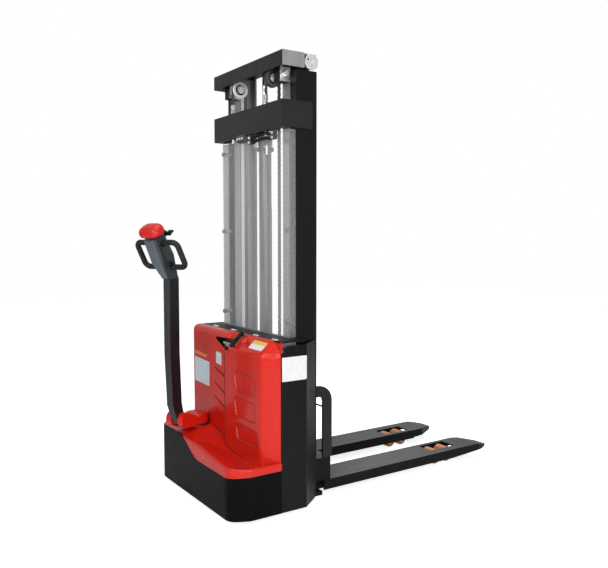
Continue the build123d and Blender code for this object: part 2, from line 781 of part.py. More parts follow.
# ================================================================ inner mast
with BuildPart() as inner_mast_channels:
    for side, sign in SIDES:
        with BuildSketch(Plane.XY.offset(inner_bottom)):
            with Locations((mast_x, sign * (inner_outer_y - inner_width / 2))):
                Rectangle(inner_depth, inner_width)
            for edge, reach in ((inner_outer_y, 1), (inner_inner_y, -1)):
                with Locations((mast_x, sign * (inner_web_y + reach * (inner_web / 2 + inner_width / 2)))):
                    Rectangle(inner_depth - 2 * inner_flange, inner_width, mode=Mode.SUBTRACT)
        extrude(amount=inner_top - inner_bottom)
        with BuildSketch(Plane.XZ.offset(-sign * (inner_web_y + inner_web / 2))):
            with Locations((mast_x, mast_roller_z)):
                Circle(roller_axle_r)
        extrude(amount=-sign * (mast_y - mast_web - inner_web_y - inner_web / 2 - 2 * running_gap))
inner_mast_channels.part.label = "inner_mast_channels"
export_step(inner_mast_channels.part, "parts/inner_mast_channels.step")

for side, sign in SIDES:
    with BuildPart() as mast_roller:
        with BuildSketch(Plane.XZ.offset(-sign * (mast_y - mast_web - 3 * running_gap))):
            with Locations((mast_x, mast_roller_z)):
                Circle(mast_roller_r)
                Circle(roller_axle_r + shaft_gap, mode=Mode.SUBTRACT)
        extrude(amount=sign * mast_roller_width)
    mast_roller.part.label = f"mast_roller_{side}"
    export_step(mast_roller.part, f"parts/mast_roller_{side}.step")

with BuildPart() as inner_mast_beam:
    with BuildSketch(Plane.XY.offset(head_top - upper_beam_height)):
        with Locations((beam_front_x, 0)):
            Rectangle(upper_beam_return, 2 * beam_y, align=(Align.MIN, Align.CENTER))
        with Locations((beam_front_x + beam_plate, 0)):
            Rectangle(upper_beam_return, 2 * mast_y, align=(Align.MIN, Align.CENTER), mode=Mode.SUBTRACT)
    extrude(amount=upper_beam_height)
    with BuildSketch(Plane.XY.offset(inner_top)):
        with Locations((beam_front_x + beam_plate / 2, 0)):
            Rectangle(
                mast_x + inner_depth / 2 - beam_front_x - beam_plate / 2,
                2 * mast_y,
                align=(Align.MIN, Align.CENTER),
            )
    extrude(amount=sheet)
inner_mast_beam.part.label = "inner_mast_beam"
export_step(inner_mast_beam.part, "parts/inner_mast_beam.step")

with BuildPart() as inner_mast_tie:
    with BuildSketch(Plane.XY.offset(inner_bottom)):
        with Locations((tie_back_x, 0)):
            Rectangle(tie_thickness, 2 * inner_outer_y - 2 * inner_flange, align=(Align.MAX, Align.CENTER))
        for side, sign in SIDES:
            with Locations((inner_front_x, sign * (inner_outer_y - inner_width / 2))):
                Rectangle(
                    inner_front_x - tie_back_x, inner_width / 2, align=(Align.MAX, Align.CENTER)
                )
    extrude(amount=tie_height)
inner_mast_tie.part.label = "inner_mast_tie"
export_step(inner_mast_tie.part, "parts/inner_mast_tie.step")

sheave_bore = sheave_axle_r + shaft_gap
axle_cap_r = sheave_axle_r + 6
with BuildPart() as mast_head_fittings:
    for side, sign in SIDES:
        with BuildSketch(Plane.XZ.offset(-sign * (inner_inner_y + 4))):
            with Locations(((sheave_x - 2 * sheave_axle_r + inner_front_x) / 2, sheave_z)):
                Rectangle(inner_front_x - sheave_x + 2 * sheave_axle_r, bracket_height)
        extrude(amount=-sign * (inner_width - 8))
        with BuildSketch(Plane.XZ.offset(-sign * (chain_y - sheave_width / 2 - 4))):
            with Locations((sheave_x, sheave_z)):
                Circle(sheave_axle_r)
        extrude(amount=-sign * (axle_end_y - chain_y + sheave_width / 2 + 4))
        with BuildSketch(Plane.XZ.offset(-sign * (chain_y - sheave_width / 2 - 8))):
            with Locations((sheave_x, sheave_z)):
                Circle(axle_cap_r)
        extrude(amount=-sign * (8 - running_gap))
        with BuildSketch(Plane.XZ.offset(-sign * (chain_y - chain_width / 2))):
            with Locations((sheave_x, sheave_z)):
                Circle(chain_pitch_r + chain_depth / 2)
                Circle(chain_pitch_r - chain_depth / 2, mode=Mode.SUBTRACT)
                Rectangle(
                    4 * sheave_r, 2 * sheave_r, align=(Align.CENTER, Align.MAX), mode=Mode.SUBTRACT
                )
        extrude(amount=-sign * chain_width)
        with BuildSketch(Plane.XZ.offset(-sign * beam_y)):
            with Locations((disc_x, disc_z)):
                Circle(disc_r)
                with PolarLocations(disc_r * 0.6, 3, start_angle=30):
                    Circle(disc_hole_r, mode=Mode.SUBTRACT)
                Circle(disc_hole_r, mode=Mode.SUBTRACT)
        extrude(amount=sign * disc_thickness)
        with BuildSketch(Plane.XZ.offset(-sign * (beam_y - disc_thickness))):
            with Locations((disc_x, disc_z)):
                Circle(disc_hub_r)
        extrude(amount=sign * (beam_y - disc_thickness - inner_web_y - inner_web / 2))
mast_head_fittings.part.label = "mast_head_fittings"
export_step(mast_head_fittings.part, "parts/mast_head_fittings.step")

for side, sign in SIDES:
    with BuildPart() as sheave:
        with BuildSketch(Plane.XZ.offset(-sign * (chain_y - sheave_width / 2))):
            with Locations((sheave_x, sheave_z)):
                Circle(sheave_r)
                Circle(sheave_bore, mode=Mode.SUBTRACT)
        extrude(amount=-sign * sheave_width)
        with BuildSketch(Plane.XZ.offset(-sign * (chain_y - chain_width / 2 - running_gap))):
            with Locations((sheave_x, sheave_z)):
                Circle(sheave_r)
                Circle(chain_pitch_r - chain_depth / 2 - running_gap, mode=Mode.SUBTRACT)
        extrude(amount=-sign * (chain_width + 2 * running_gap), mode=Mode.SUBTRACT)
    sheave.part.label = f"sheave_{side}"
    export_step(sheave.part, f"parts/sheave_{side}.step")

with BuildPart() as piston_rod:
    with BuildSketch(Plane.XY.offset(foot_top + barrel_base + running_gap)):
        with Locations((cylinder_x, 0)):
            Circle(barrel_bore_r - shaft_gap)
    extrude(amount=piston_height)
    with BuildSketch(Plane.XY.offset(foot_top + barrel_base + piston_height)):
        with Locations((cylinder_x, 0)):
            Circle(rod_r)
    extrude(amount=inner_top - foot_top - barrel_base - piston_height)
piston_rod.part.label = "piston_rod"
export_step(piston_rod.part, "parts/piston_rod.step")

# ================================================================ carriage
plate_front_x = mast_x - inner_depth / 2 + 7
with BuildPart() as carriage_frame:
    for side, sign in SIDES:
        with BuildSketch(Plane.XZ.offset(-sign * (carriage_y - carriage_plate))):
            with Locations((plate_front_x, fork_top + 5)):
                Rectangle(
                    carriage_beam_x - plate_front_x,
                    carriage_top - fork_top - 5,
                    align=(Align.MIN, Align.MIN),
                )
        extrude(amount=-sign * carriage_plate)
        with BuildSketch(Plane.XZ.offset(-sign * carriage_y)):
            with Locations(*[(mast_x, z) for z in carriage_roller_z]):
                Circle(roller_axle_r)
        extrude(amount=-sign * (inner_web_y - inner_web / 2 - carriage_y - 2 * running_gap))
        with BuildSketch(Plane.XY.offset(lug_top - lug_height)):
            with Locations((rear_run_x, sign * (carriage_y - carriage_plate - 20))):
                Rectangle(2 * chain_depth, 40)
        extrude(amount=lug_height)
    with BuildSketch(Plane.YZ.offset(carriage_beam_x)):
        with Locations((0, (fork_top + carriage_beam_top) / 2)):
            Rectangle(2 * carriage_beam_half, carriage_beam_top - fork_top)
    extrude(amount=carriage_beam_depth)
    with BuildSketch(Plane.YZ.offset(carriage_beam_x)):
        with Locations((0, fork_top)):
            Rectangle(2 * carriage_beam_half, fork_seat, align=(Align.CENTER, Align.MAX))
    extrude(amount=carriage_beam_depth - seat_relief)
    with BuildSketch(Plane.YZ.offset(top_bar_x)):
        with Locations((0, carriage_top + top_bar_height / 2)):
            Rectangle(2 * (carriage_beam_half - hoop_plate), top_bar_height)
    extrude(amount=top_bar_depth)
carriage_frame.part.label = "carriage_frame"
export_step(carriage_frame.part, "parts/carriage_frame.step")

for side, sign in SIDES:
    for place, z in zip(("lower", "upper"), carriage_roller_z):
        with BuildPart() as carriage_roller:
            with BuildSketch(Plane.XZ.offset(-sign * (inner_web_y - inner_web / 2 - 3 * running_gap))):
                with Locations((mast_x, z)):
                    Circle(inner_roller_r)
                    Circle(roller_axle_r + shaft_gap, mode=Mode.SUBTRACT)
            extrude(amount=sign * carriage_roller_width)
        carriage_roller.part.label = f"carriage_roller_{place}_{side}"
        export_step(carriage_roller.part, f"parts/carriage_roller_{place}_{side}.step")

arch_x = hoop_front_x - hoop_r
arch_z = hoop_top - hoop_r
with BuildPart() as load_backrest:
    for side, sign in SIDES:
        with BuildSketch(Plane.XZ.offset(-sign * (carriage_beam_half - hoop_plate))):
            with Locations((hoop_front_x, carriage_beam_top)):
                Rectangle(hoop_width, arch_z - carriage_beam_top, align=(Align.MAX, Align.MIN))
            with Locations((hoop_back_x, hoop_top)):
                Rectangle(arch_x - hoop_back_x, hoop_width, align=(Align.MIN, Align.MAX))
            with BuildLine():
                Line((arch_x, arch_z), (arch_x + hoop_r, arch_z))
                RadiusArc((arch_x + hoop_r, arch_z), (arch_x, arch_z + hoop_r), -hoop_r)
                Line((arch_x, arch_z + hoop_r), (arch_x, arch_z))
            make_face()
            with Locations((arch_x, arch_z)):
                Circle(hoop_r - hoop_width, mode=Mode.SUBTRACT)
        extrude(amount=-sign * hoop_plate)
    with BuildSketch(Plane.XZ.offset(-carriage_beam_half + hoop_plate)):
        with Locations(*[(hoop_front_x - hoop_width / 2, z) for z in rail_heights]):
            Circle(rail_r)
    extrude(amount=2 * (carriage_beam_half - hoop_plate))
load_backrest.part.label = "load_backrest"
export_step(load_backrest.part, "parts/load_backrest.step")

fork_start_x = heel_x - fork_rear_run
fork_tip_x = heel_x + fork_length
fork_slope_x = fork_tip_x - fork_slope_length
fork_droop_x = fork_tip_x - fork_droop_length
hollow_end_x = fork_tip_x - hollow_inset
window_x = heel_x + window_centre


def blade_plan(sign, inset, tip_x):
    """Plan outline of one fork; the inboard corner of the tip is cut back further."""
    outer_y = fork_spread / 2 - inset
    inner_y = fork_spread / 2 - fork_width + inset
    return [
        (fork_start_x, sign * inner_y),
        (tip_x - fork_tip_length, sign * inner_y),
        (tip_x - 0.25 * fork_tip_length, sign * (inner_y + 45)),
        (tip_x, sign * (inner_y + 70)),
        (tip_x, sign * (outer_y - 26)),
        (tip_x - 0.35 * fork_tip_length, sign * (outer_y - 5)),
        (tip_x - 0.6 * fork_tip_length, sign * outer_y),
        (fork_start_x, sign * outer_y),
    ]


for side, sign in SIDES:
    with BuildPart() as fork:
        with BuildSketch(Plane.XY.offset(fork_skirt_bottom)):
            with BuildLine():
                Polyline(*blade_plan(sign, 0, fork_tip_x), close=True)
            make_face()
        extrude(amount=fork_top - fork_skirt_bottom)
        with BuildSketch(Plane.XZ):
            with BuildLine():
                Polyline(
                    (fork_start_x, fork_skirt_bottom),
                    (fork_slope_x, fork_skirt_bottom),
                    (fork_tip_x, fork_skirt_bottom + 16),
                    (fork_tip_x, fork_top - 20),
                    (fork_droop_x, fork_top),
                    (heel_x, fork_top),
                    (heel_x, fork_top - fork_seat),
                    (fork_start_x, fork_top - fork_seat),
                    close=True,
                )
            make_face()
        extrude(amount=fork_spread, both=True, mode=Mode.INTERSECT)
        with BuildSketch(Plane.XY.offset(fork_skirt_bottom)):
            with BuildLine():
                Polyline(
                    (fork_start_x, sign * (fork_spread / 2 - fork_width + fork_plate)),
                    (hollow_end_x, sign * (fork_spread / 2 - fork_width + fork_plate)),
                    (hollow_end_x, sign * (fork_spread / 2 - fork_plate)),
                    (fork_start_x, sign * (fork_spread / 2 - fork_plate)),
                    close=True,
                )
            make_face()
        extrude(amount=fork_top - fork_plate - fork_skirt_bottom, mode=Mode.SUBTRACT)
        with BuildSketch(Plane.XY.offset(fork_top - fork_plate)):
            with Locations((window_x, sign * window_y)):
                RectangleRounded(window_length, window_width, 8)
        extrude(amount=fork_plate, mode=Mode.SUBTRACT)
    fork.part.label = f"fork_{side}"
    export_step(fork.part, f"parts/fork_{side}.step")

# ================================================================ legs and load rollers
leg_tip_x = heel_x + leg_tip
roller_xs = (window_x - load_roller_spacing / 2, window_x + load_roller_spacing / 2)
pocket_length = load_roller_spacing + 2 * load_roller_r + 8
with BuildPart() as legs:
    for side, sign in SIDES:
        with BuildSketch(Plane.XZ.offset(-sign * (leg_y - leg_width / 2))):
            with BuildLine():
                Polyline(
                    (leg_start_x, floor_gap),
                    (leg_tip_x, floor_gap),
                    (leg_tip_x, leg_top - 20),
                    (leg_tip_x - leg_tip_taper, leg_top),
                    (leg_start_x, leg_top),
                    close=True,
                )
            make_face()
        extrude(amount=-sign * leg_width)
        with BuildSketch(Plane.XY.offset(floor_gap)):
            with Locations(((leg_start_x + leg_tip_x) / 2, sign * leg_y)):
                Rectangle(leg_tip_x - leg_start_x - 2 * leg_plate, leg_width - 2 * leg_plate)
        extrude(amount=leg_top - leg_plate - floor_gap - 14, mode=Mode.SUBTRACT)
        with BuildSketch(Plane.XY.offset(floor_gap)):
            with Locations(((leg_start_x + leg_tip_x - 60) / 2, sign * leg_y)):
                Rectangle(leg_tip_x - leg_start_x - 80, leg_width - 2 * leg_plate)
        extrude(amount=leg_top - leg_plate - floor_gap, mode=Mode.SUBTRACT)
        with BuildSketch(Plane.XY.offset(floor_gap)):
            with Locations((window_x, sign * leg_y)):
                Rectangle(pocket_length, window_width)
        extrude(amount=leg_top - floor_gap, mode=Mode.SUBTRACT)
        with BuildSketch(Plane.XZ.offset(-sign * (leg_y - leg_width / 2 + leg_plate))):
            with Locations(*[(x, load_roller_r) for x in roller_xs]):
                Circle(load_axle_r)
        extrude(amount=-sign * (leg_width - 2 * leg_plate))
legs.part.label = "legs"
export_step(legs.part, "parts/legs.step")

for side, sign in SIDES:
    for place, x in zip(("rear", "front"), roller_xs):
        with BuildPart() as load_roller:
            with BuildSketch(Plane.XZ.offset(-sign * (leg_y - load_roller_width / 2))):
                with Locations((x, load_roller_r)):
                    Circle(load_roller_r)
                    Circle(load_axle_r + shaft_gap, mode=Mode.SUBTRACT)
            extrude(amount=-sign * load_roller_width)
        load_roller.part.label = f"load_roller_{place}_{side}"
        export_step(load_roller.part, f"parts/load_roller_{place}_{side}.step")

with BuildPart() as chain_rear_runs:
    with BuildSketch(Plane.XY.offset(lug_top)):
        with Locations((rear_run_x, chain_y), (rear_run_x, -chain_y)):
            Rectangle(chain_depth, chain_width)
    extrude(amount=sheave_z - lug_top)
chain_rear_runs.part.label = "chain_rear_runs"
export_step(chain_rear_runs.part, "parts/chain_rear_runs.step")

# ================================================================ drive unit
with BuildPart() as steering_bearing:
    with BuildSketch(steer.offset(floor_plate_top)):
        Circle(bearing_outer_r)
        Circle(bearing_inner_r, mode=Mode.SUBTRACT)
    extrude(amount=bearing_height)
steering_bearing.part.label = "steering_bearing"
export_step(steering_bearing.part, "parts/steering_bearing.step")

wheel_side = drive_wheel_width / 2 + 3
flange_bottom = 2 * drive_wheel_r + 3
with BuildPart() as drive_gearbox:
    with BuildSketch(steer.offset(flange_bottom)):
        Circle(bearing_inner_r - running_gap)
    extrude(amount=unit_top - flange_bottom)
    with BuildSketch(steer.offset(floor_plate_z - 8)):
        with Locations((0, wheel_side)):
            Rectangle(84, 37, align=(Align.CENTER, Align.MIN))
    extrude(amount=flange_bottom - floor_plate_z + 8)
    with BuildSketch(steer.offset(60)):
        with Locations((0, wheel_side)):
            Rectangle(110, gear_case_width, align=(Align.CENTER, Align.MIN))
    extrude(amount=floor_plate_z - 68)
    with BuildSketch(steer_side.offset(-wheel_side)):
        with Locations((0, drive_wheel_r)):
            Circle(drive_axle_r)
    extrude(amount=2 * wheel_side - 3)
drive_gearbox.part.label = "drive_gearbox"
export_step(drive_gearbox.part, "parts/drive_gearbox.step")

with BuildPart() as drive_wheel:
    with BuildSketch(steer_side.offset(-drive_wheel_width / 2)):
        with Locations((0, drive_wheel_r)):
            Circle(drive_wheel_r)
            Circle(drive_axle_r + shaft_gap, mode=Mode.SUBTRACT)
    extrude(amount=drive_wheel_width)
drive_wheel.part.label = "drive_wheel"
export_step(drive_wheel.part, "parts/drive_wheel.step")

with BuildPart() as drive_motor:
    with BuildSketch(steer.offset(unit_top)):
        Circle(motor_r)
    extrude(amount=motor_height)
drive_motor.part.label = "drive_motor"
export_step(drive_motor.part, "parts/drive_motor.step")

# ================================================================ tiller
with BuildPart() as tiller_base:
    with BuildSketch(steer_side.offset(-hump_width / 2)):
        with BuildLine():
            Polyline(
                (-column_outer_r, hump_bottom),
                (-column_outer_r, hump_bottom + 24),
                (-column_outer_r + 16, pivot_z + 3),
                (14, pivot_z + 6),
                (46, pivot_z - 4),
                (pivot_reach - 20, pivot_z + lobe_r - 6),
                (pivot_reach, pivot_z + lobe_r),
                (pivot_reach, hump_bottom),
                close=True,
            )
        make_face()
        with Locations((pivot_reach, pivot_z)):
            Circle(lobe_r)
        with Locations((pivot_reach, hump_bottom)):
            Rectangle(4 * lobe_r, 4 * lobe_r, align=(Align.CENTER, Align.MAX), mode=Mode.SUBTRACT)
    extrude(amount=hump_width)
    with BuildSketch(steer.offset(hump_bottom)):
        Circle(column_outer_r)
        Rectangle(4 * pivot_reach, hump_width, align=(Align.MIN, Align.CENTER))
    extrude(amount=4 * lobe_r, mode=Mode.INTERSECT)
    with BuildSketch(steer.offset(hump_bottom + slot_floor)):
        with Locations((pivot_reach - lobe_r, 0)):
            Rectangle(4 * lobe_r, slot_width, align=(Align.MIN, Align.CENTER))
    extrude(amount=4 * lobe_r, mode=Mode.SUBTRACT)
    with BuildSketch(steer_side.offset(-hump_width / 2 + 4)):
        with Locations((pivot_reach, pivot_z)):
            Circle(pivot_r)
    extrude(amount=hump_width - 8)
    with BuildSketch(steer.offset(unit_top)):
        Circle(column_outer_r)
        Circle(column_inner_r, mode=Mode.SUBTRACT)
    extrude(amount=hump_bottom - unit_top)
tiller_base.part.label = "tiller_base"
export_step(tiller_base.part, "parts/tiller_base.step")

with BuildPart() as tiller_arm:
    with BuildSketch(steer_side.offset(-arm_width / 2)):
        with BuildLine():
            Polyline(
                (pivot_reach - 25, pivot_z - 6),
                (pivot_reach - 3, arm_root_z),
                (arm_reach - arm_depth / 2, arm_straight_z),
                (arm_reach - arm_depth / 2, arm_top),
                (arm_reach + arm_depth / 2, arm_top),
                (arm_reach + arm_depth / 2, arm_straight_z),
                (pivot_reach + 63, arm_root_z),
                (pivot_reach + 27, pivot_z - 14),
                close=True,
            )
        make_face()
        with Locations((pivot_reach, pivot_z)):
            Circle(28)
            Circle(pivot_r + shaft_gap, mode=Mode.SUBTRACT)
    extrude(amount=arm_width)
tiller_arm.part.label = "tiller_arm"
export_step(tiller_arm.part, "parts/tiller_arm.step")

with BuildPart() as tiller_head:
    with BuildSketch(head.offset(-head_sink)):
        RectangleRounded(*neck_size, 8)
    with BuildSketch(head):
        RectangleRounded(*neck_size, 8)
    with BuildSketch(head.offset(head_mid)):
        RectangleRounded(*head_mid_size, 20)
    with BuildSketch(head.offset(head_length)):
        RectangleRounded(*head_top_size, 24)
    loft(ruled=True)
    with BuildSketch(head_front.offset(pocket_bottom - 6)):
        with Locations((0, lever_at)):
            RectangleRounded(2 * lever_inner - 4, 2 * lever_boss, 4)
    extrude(amount=lever_out + 10 - pocket_bottom + 6)
    with BuildSketch(Plane.XY.offset(arm_top)):
        with Locations((steer_x, steer_y)):
            Rectangle(4 * head_length, 4 * head_length)
    extrude(amount=-head_length, mode=Mode.SUBTRACT)
    with BuildSketch(head.offset(head_length)):
        Circle(button_stem_r + shaft_gap)
    extrude(amount=-button_bore, mode=Mode.SUBTRACT)
    with BuildSketch(head_side.offset(-lever_outer)):
        with Locations((lever_at, lever_out)):
            Circle(lever_axle_r + shaft_gap)
    extrude(amount=2 * lever_outer, mode=Mode.SUBTRACT)
    with BuildSketch(head_front.offset(pocket_bottom)):
        with Locations((0, rocker_at)):
            Rectangle(rocker_size[0] + 2 * pocket_gap, rocker_size[1] + 2 * pocket_gap)
        with Locations((0, horn_at)):
            Circle(horn_r + shaft_gap)
    extrude(amount=2 * pocket_bottom, mode=Mode.SUBTRACT)
    with BuildSketch(head_side.offset(-rocker_size[0] / 2 - 6)):
        with Locations((rocker_at, rocker_out)):
            Circle(rocker_pin_r + shaft_gap)
    extrude(amount=rocker_size[0] + 12, mode=Mode.SUBTRACT)
tiller_head.part.label = "tiller_head"
export_step(tiller_head.part, "parts/tiller_head.step")

with BuildPart() as tiller_grips:
    for side, sign in SIDES:
        with BuildLine(head_front) as loop:
            FilletPolyline(
                (sign * 10, grip_low),
                (sign * grip_half, grip_low),
                (sign * grip_half, grip_high),
                (sign * 10, grip_high),
                radius=grip_corner_r,
            )
        with BuildSketch(Plane(origin=loop.line @ 0, z_dir=loop.line % 0)):
            Circle(grip_r)
        sweep(path=loop.line)
    add(tiller_head.part, mode=Mode.SUBTRACT)
    with BuildSketch(head.offset(0)):
        Rectangle(*[neck_size[0] - 4, neck_size[1] - 4])
    extrude(amount=head_length, mode=Mode.SUBTRACT)
tiller_grips.part.label = "tiller_grips"
export_step(tiller_grips.part, "parts/tiller_grips.step")

button_bottom = head_length + button_travel + running_gap
with BuildPart() as reverse_button:
    with BuildSketch(head.offset(button_bottom)):
        RectangleRounded(button_across, button_deep, button_deep / 2 - 2)
    extrude(amount=button_height)
    fillet(reverse_button.faces().sort_by(Axis.Z)[-1].edges(), button_round)
    with BuildSketch(head.offset(head_length - button_bore + button_travel + 2)):
        Circle(button_stem_r)
    extrude(amount=button_bore - 2 + running_gap + 4)
reverse_button.part.label = "reverse_button"
export_step(reverse_button.part, "parts/reverse_button.step")

with BuildPart() as thumb_lever:
    with BuildSketch(head_side.offset(-lever_outer)):
        with Locations((lever_at, lever_out)):
            Circle(lever_axle_r)
    extrude(amount=2 * lever_outer)
    for side, sign in SIDES:
        with BuildSketch(head_side.offset(sign * lever_inner)):
            with Locations((lever_at, lever_out)):
                Circle(lever_hub_r)
                Rectangle(2 * lever_axle_r, lever_reach, align=(Align.CENTER, Align.MIN))
        extrude(amount=sign * (lever_outer - lever_inner))
thumb_lever.part.label = "thumb_lever"
export_step(thumb_lever.part, "parts/thumb_lever.step")

with BuildPart() as lift_rocker:
    with BuildSketch(head_front.offset(rocker_bottom)):
        with Locations((0, rocker_at)):
            Rectangle(*rocker_size)
    extrude(amount=rocker_top - rocker_bottom)
    with BuildSketch(head_side.offset(-rocker_size[0] / 2 - 5)):
        with Locations((rocker_at, rocker_out)):
            Circle(rocker_pin_r)
    extrude(amount=rocker_size[0] + 10)
lift_rocker.part.label = "lift_rocker"
export_step(lift_rocker.part, "parts/lift_rocker.step")

with BuildPart() as horn_button:
    with BuildSketch(head_front.offset(horn_bottom)):
        with Locations((0, horn_at)):
            Circle(horn_r)
    extrude(amount=horn_top - horn_bottom)
horn_button.part.label = "horn_button"
export_step(horn_button.part, "parts/horn_button.step")

# ================================================================ caster
caster_plate_top = floor_plate_z - running_gap
caster_cheek_y = caster_wheel_width / 2 + 2
with BuildPart() as caster_fork:
    with BuildSketch(Plane.XY.offset(caster_plate_top - 12)):
        with Locations((caster_x, caster_y)):
            Circle(46)
        with Locations((caster_x + caster_trail / 2, caster_y)):
            Rectangle(70, 2 * caster_cheek_y + 12)
    extrude(amount=12)
    for side, sign in SIDES:
        with BuildSketch(Plane.XZ.offset(-caster_y - sign * caster_cheek_y)):
            with BuildLine():
                Polyline(
                    (caster_x - 16, caster_plate_top - 6),
                    (caster_x + caster_trail - 16, caster_wheel_r),
                    (caster_x + caster_trail + 16, caster_wheel_r),
                    (caster_x + 54, caster_plate_top - 6),
                    close=True,
                )
            make_face()
            with Locations((caster_x + caster_trail, caster_wheel_r)):
                Circle(16)
        extrude(amount=-sign * 6)
    with BuildSketch(Plane.XZ.offset(-caster_y - caster_cheek_y)):
        with Locations((caster_x + caster_trail, caster_wheel_r)):
            Circle(caster_axle_r)
    extrude(amount=2 * caster_cheek_y)
    with BuildSketch(Plane.XY.offset(caster_plate_top)):
        with Locations((caster_x, caster_y)):
            Circle(caster_stem_r)
    extrude(amount=floor_plate_top - caster_plate_top + running_gap)
    with BuildSketch(Plane.XY.offset(floor_plate_top + running_gap)):
        with Locations((caster_x, caster_y)):
            Circle(caster_stem_r + 9)
    extrude(amount=12)
caster_fork.part.label = "caster_fork"
export_step(caster_fork.part, "parts/caster_fork.step")

with BuildPart() as caster_wheel:
    with BuildSketch(Plane.XZ.offset(-caster_y - caster_wheel_width / 2)):
        with Locations((caster_x + caster_trail, caster_wheel_r)):
            Circle(caster_wheel_r)
            Circle(caster_axle_r + shaft_gap, mode=Mode.SUBTRACT)
    extrude(amount=caster_wheel_width)
caster_wheel.part.label = "caster_wheel"
export_step(caster_wheel.part, "parts/caster_wheel.step")
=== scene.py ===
"""Visual model of a walkie stacker, built round its mechanical frame.

Run as a script. It is laid out as an add-on whose panel rebuilds each group of pieces.
Lengths are millimetres in "yard" coordinates unless a comment says metres: x is 0 in a plane
DATUM_INSET behind the foremost face of the carriage frame and negative towards the operator,
y is to the left and z is up.
"""

import json
from math import asin, cos, hypot, pi, radians, sin

import bmesh
import bpy
from mathutils import Matrix, Vector


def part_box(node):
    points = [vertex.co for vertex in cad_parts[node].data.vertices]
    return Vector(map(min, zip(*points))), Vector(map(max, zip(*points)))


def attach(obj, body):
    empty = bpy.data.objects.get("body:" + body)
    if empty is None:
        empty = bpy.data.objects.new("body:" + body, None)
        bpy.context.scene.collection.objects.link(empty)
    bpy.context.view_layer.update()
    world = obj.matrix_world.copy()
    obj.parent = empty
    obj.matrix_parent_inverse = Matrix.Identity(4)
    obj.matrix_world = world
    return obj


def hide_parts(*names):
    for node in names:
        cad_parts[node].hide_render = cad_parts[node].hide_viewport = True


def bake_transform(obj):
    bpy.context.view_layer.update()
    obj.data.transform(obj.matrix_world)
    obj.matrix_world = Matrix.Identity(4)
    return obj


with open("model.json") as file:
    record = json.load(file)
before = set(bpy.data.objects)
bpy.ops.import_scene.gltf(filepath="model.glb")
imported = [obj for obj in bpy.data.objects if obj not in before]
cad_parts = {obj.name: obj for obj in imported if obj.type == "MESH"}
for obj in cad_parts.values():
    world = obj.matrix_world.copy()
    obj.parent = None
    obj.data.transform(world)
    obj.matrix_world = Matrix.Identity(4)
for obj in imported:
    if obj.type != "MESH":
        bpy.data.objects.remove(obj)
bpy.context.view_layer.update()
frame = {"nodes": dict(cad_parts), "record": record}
DATUM_INSET = 0.025  # metres
DATUM = (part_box("carriage_frame")[1].x - DATUM_INSET) * 1000
TO_FRAME = Matrix.Scale(0.001, 4) @ Matrix.Translation((DATUM, 0, 0))
BODIES = frame["record"]["behaviour"]["bodies"]
BODY_OF = {node: body for body, group in BODIES.items() for node in group}

bl_info = {
    "name": "Walkie stacker",
    "version": (1, 0, 0),
    "blender": (4, 5, 0),
    "location": "View3D > Sidebar > Stacker",
    "description": "Builds the visible pieces of a walkie stacker on its mechanical frame",
    "category": "Add Mesh",
}

SIDES = (("left", 1), ("right", -1))
STEER_X, STEER_Y = -440, 234  # the tiller's upright turning axis
WELD = 0.00002  # metres, within which a copied node's vertices are one
SHARP = radians(30)  # edges that turn by more than this are rounded
CLOSE = 0.01  # millimetres, within which a new piece's vertices are one
SIDE_FACE = 409.2  # outer face of the side plates


# ---------------------------------------------------------------- settings
class StackerPaint(bpy.types.PropertyGroup):
    """Colours of the stacker's finishes."""

    red: bpy.props.FloatVectorProperty(
        name="Cover red", description="Moulded covers", subtype="COLOR", min=0, max=1,
        default=(0.60, 0.014, 0.006),
    )
    black: bpy.props.FloatVectorProperty(
        name="Frame black", description="Chassis and forks", subtype="COLOR", min=0, max=1,
        default=(0.0036, 0.0038, 0.0039),
    )
    mast: bpy.props.FloatVectorProperty(
        name="Mast black", description="Mast and beams", subtype="COLOR", min=0, max=1,
        default=(0.0055, 0.0055, 0.0058),
    )
    head: bpy.props.FloatVectorProperty(
        name="Head grey", description="Tiller head shell", subtype="COLOR", min=0, max=1,
        default=(0.085, 0.10, 0.125),
    )
    wheel: bpy.props.FloatVectorProperty(
        name="Roller orange", description="Load rollers", subtype="COLOR", min=0, max=1,
        default=(0.50, 0.16, 0.03),
    )


class StackerSizes(bpy.types.PropertyGroup):
    """Sizes of the details that the frame leaves open."""

    edge: bpy.props.FloatProperty(
        name="Plate edge", description="Rounding of plate edges",
        default=0.0016, unit="LENGTH", min=0.0002, max=0.004,
    )
    link_pitch: bpy.props.FloatProperty(
        name="Chain pitch", description="Pitch of the leaf chain",
        default=0.0127, unit="LENGTH", min=0.008, max=0.02,
    )
    label_proud: bpy.props.FloatProperty(
        name="Label thickness", description="How far labels stand proud",
        default=0.0004, unit="LENGTH", min=0.0001, max=0.001,
    )


# ---------------------------------------------------------------- materials
def graph(name):
    """A new material's node tree, its shader and a helper that adds and links nodes."""
    mat = bpy.data.materials.new(name)
    mat.use_nodes = True
    tree = mat.node_tree
    shader = tree.nodes["Principled BSDF"]
    coords = tree.nodes.new("ShaderNodeTexCoord")

    def add(kind, inputs=(), **settings):
        node = tree.nodes.new(kind)
        for key, value in settings.items():
            setattr(node, key, value)
        for key, value in dict(inputs).items():
            if isinstance(value, bpy.types.NodeSocket):
                tree.links.new(value, node.inputs[key])
            else:
                node.inputs[key].default_value = value
        return node

    return mat, tree, shader, coords.outputs["Object"], add


def ramp(add, factor, stops):
    """A colour ramp over factor."""
    node = add("ShaderNodeValToRGB", {"Fac": factor})
    points = node.color_ramp.elements
    while len(points) < len(stops):
        points.new(0.5)
    for point, (position, colour) in zip(points, stops):
        point.position = position
        point.color = (*colour, 1)
    return node.outputs["Color"]


def shade(colour, factor):
    """colour, lighter or darker."""
    return tuple(min(1.0, channel * factor) for channel in colour)


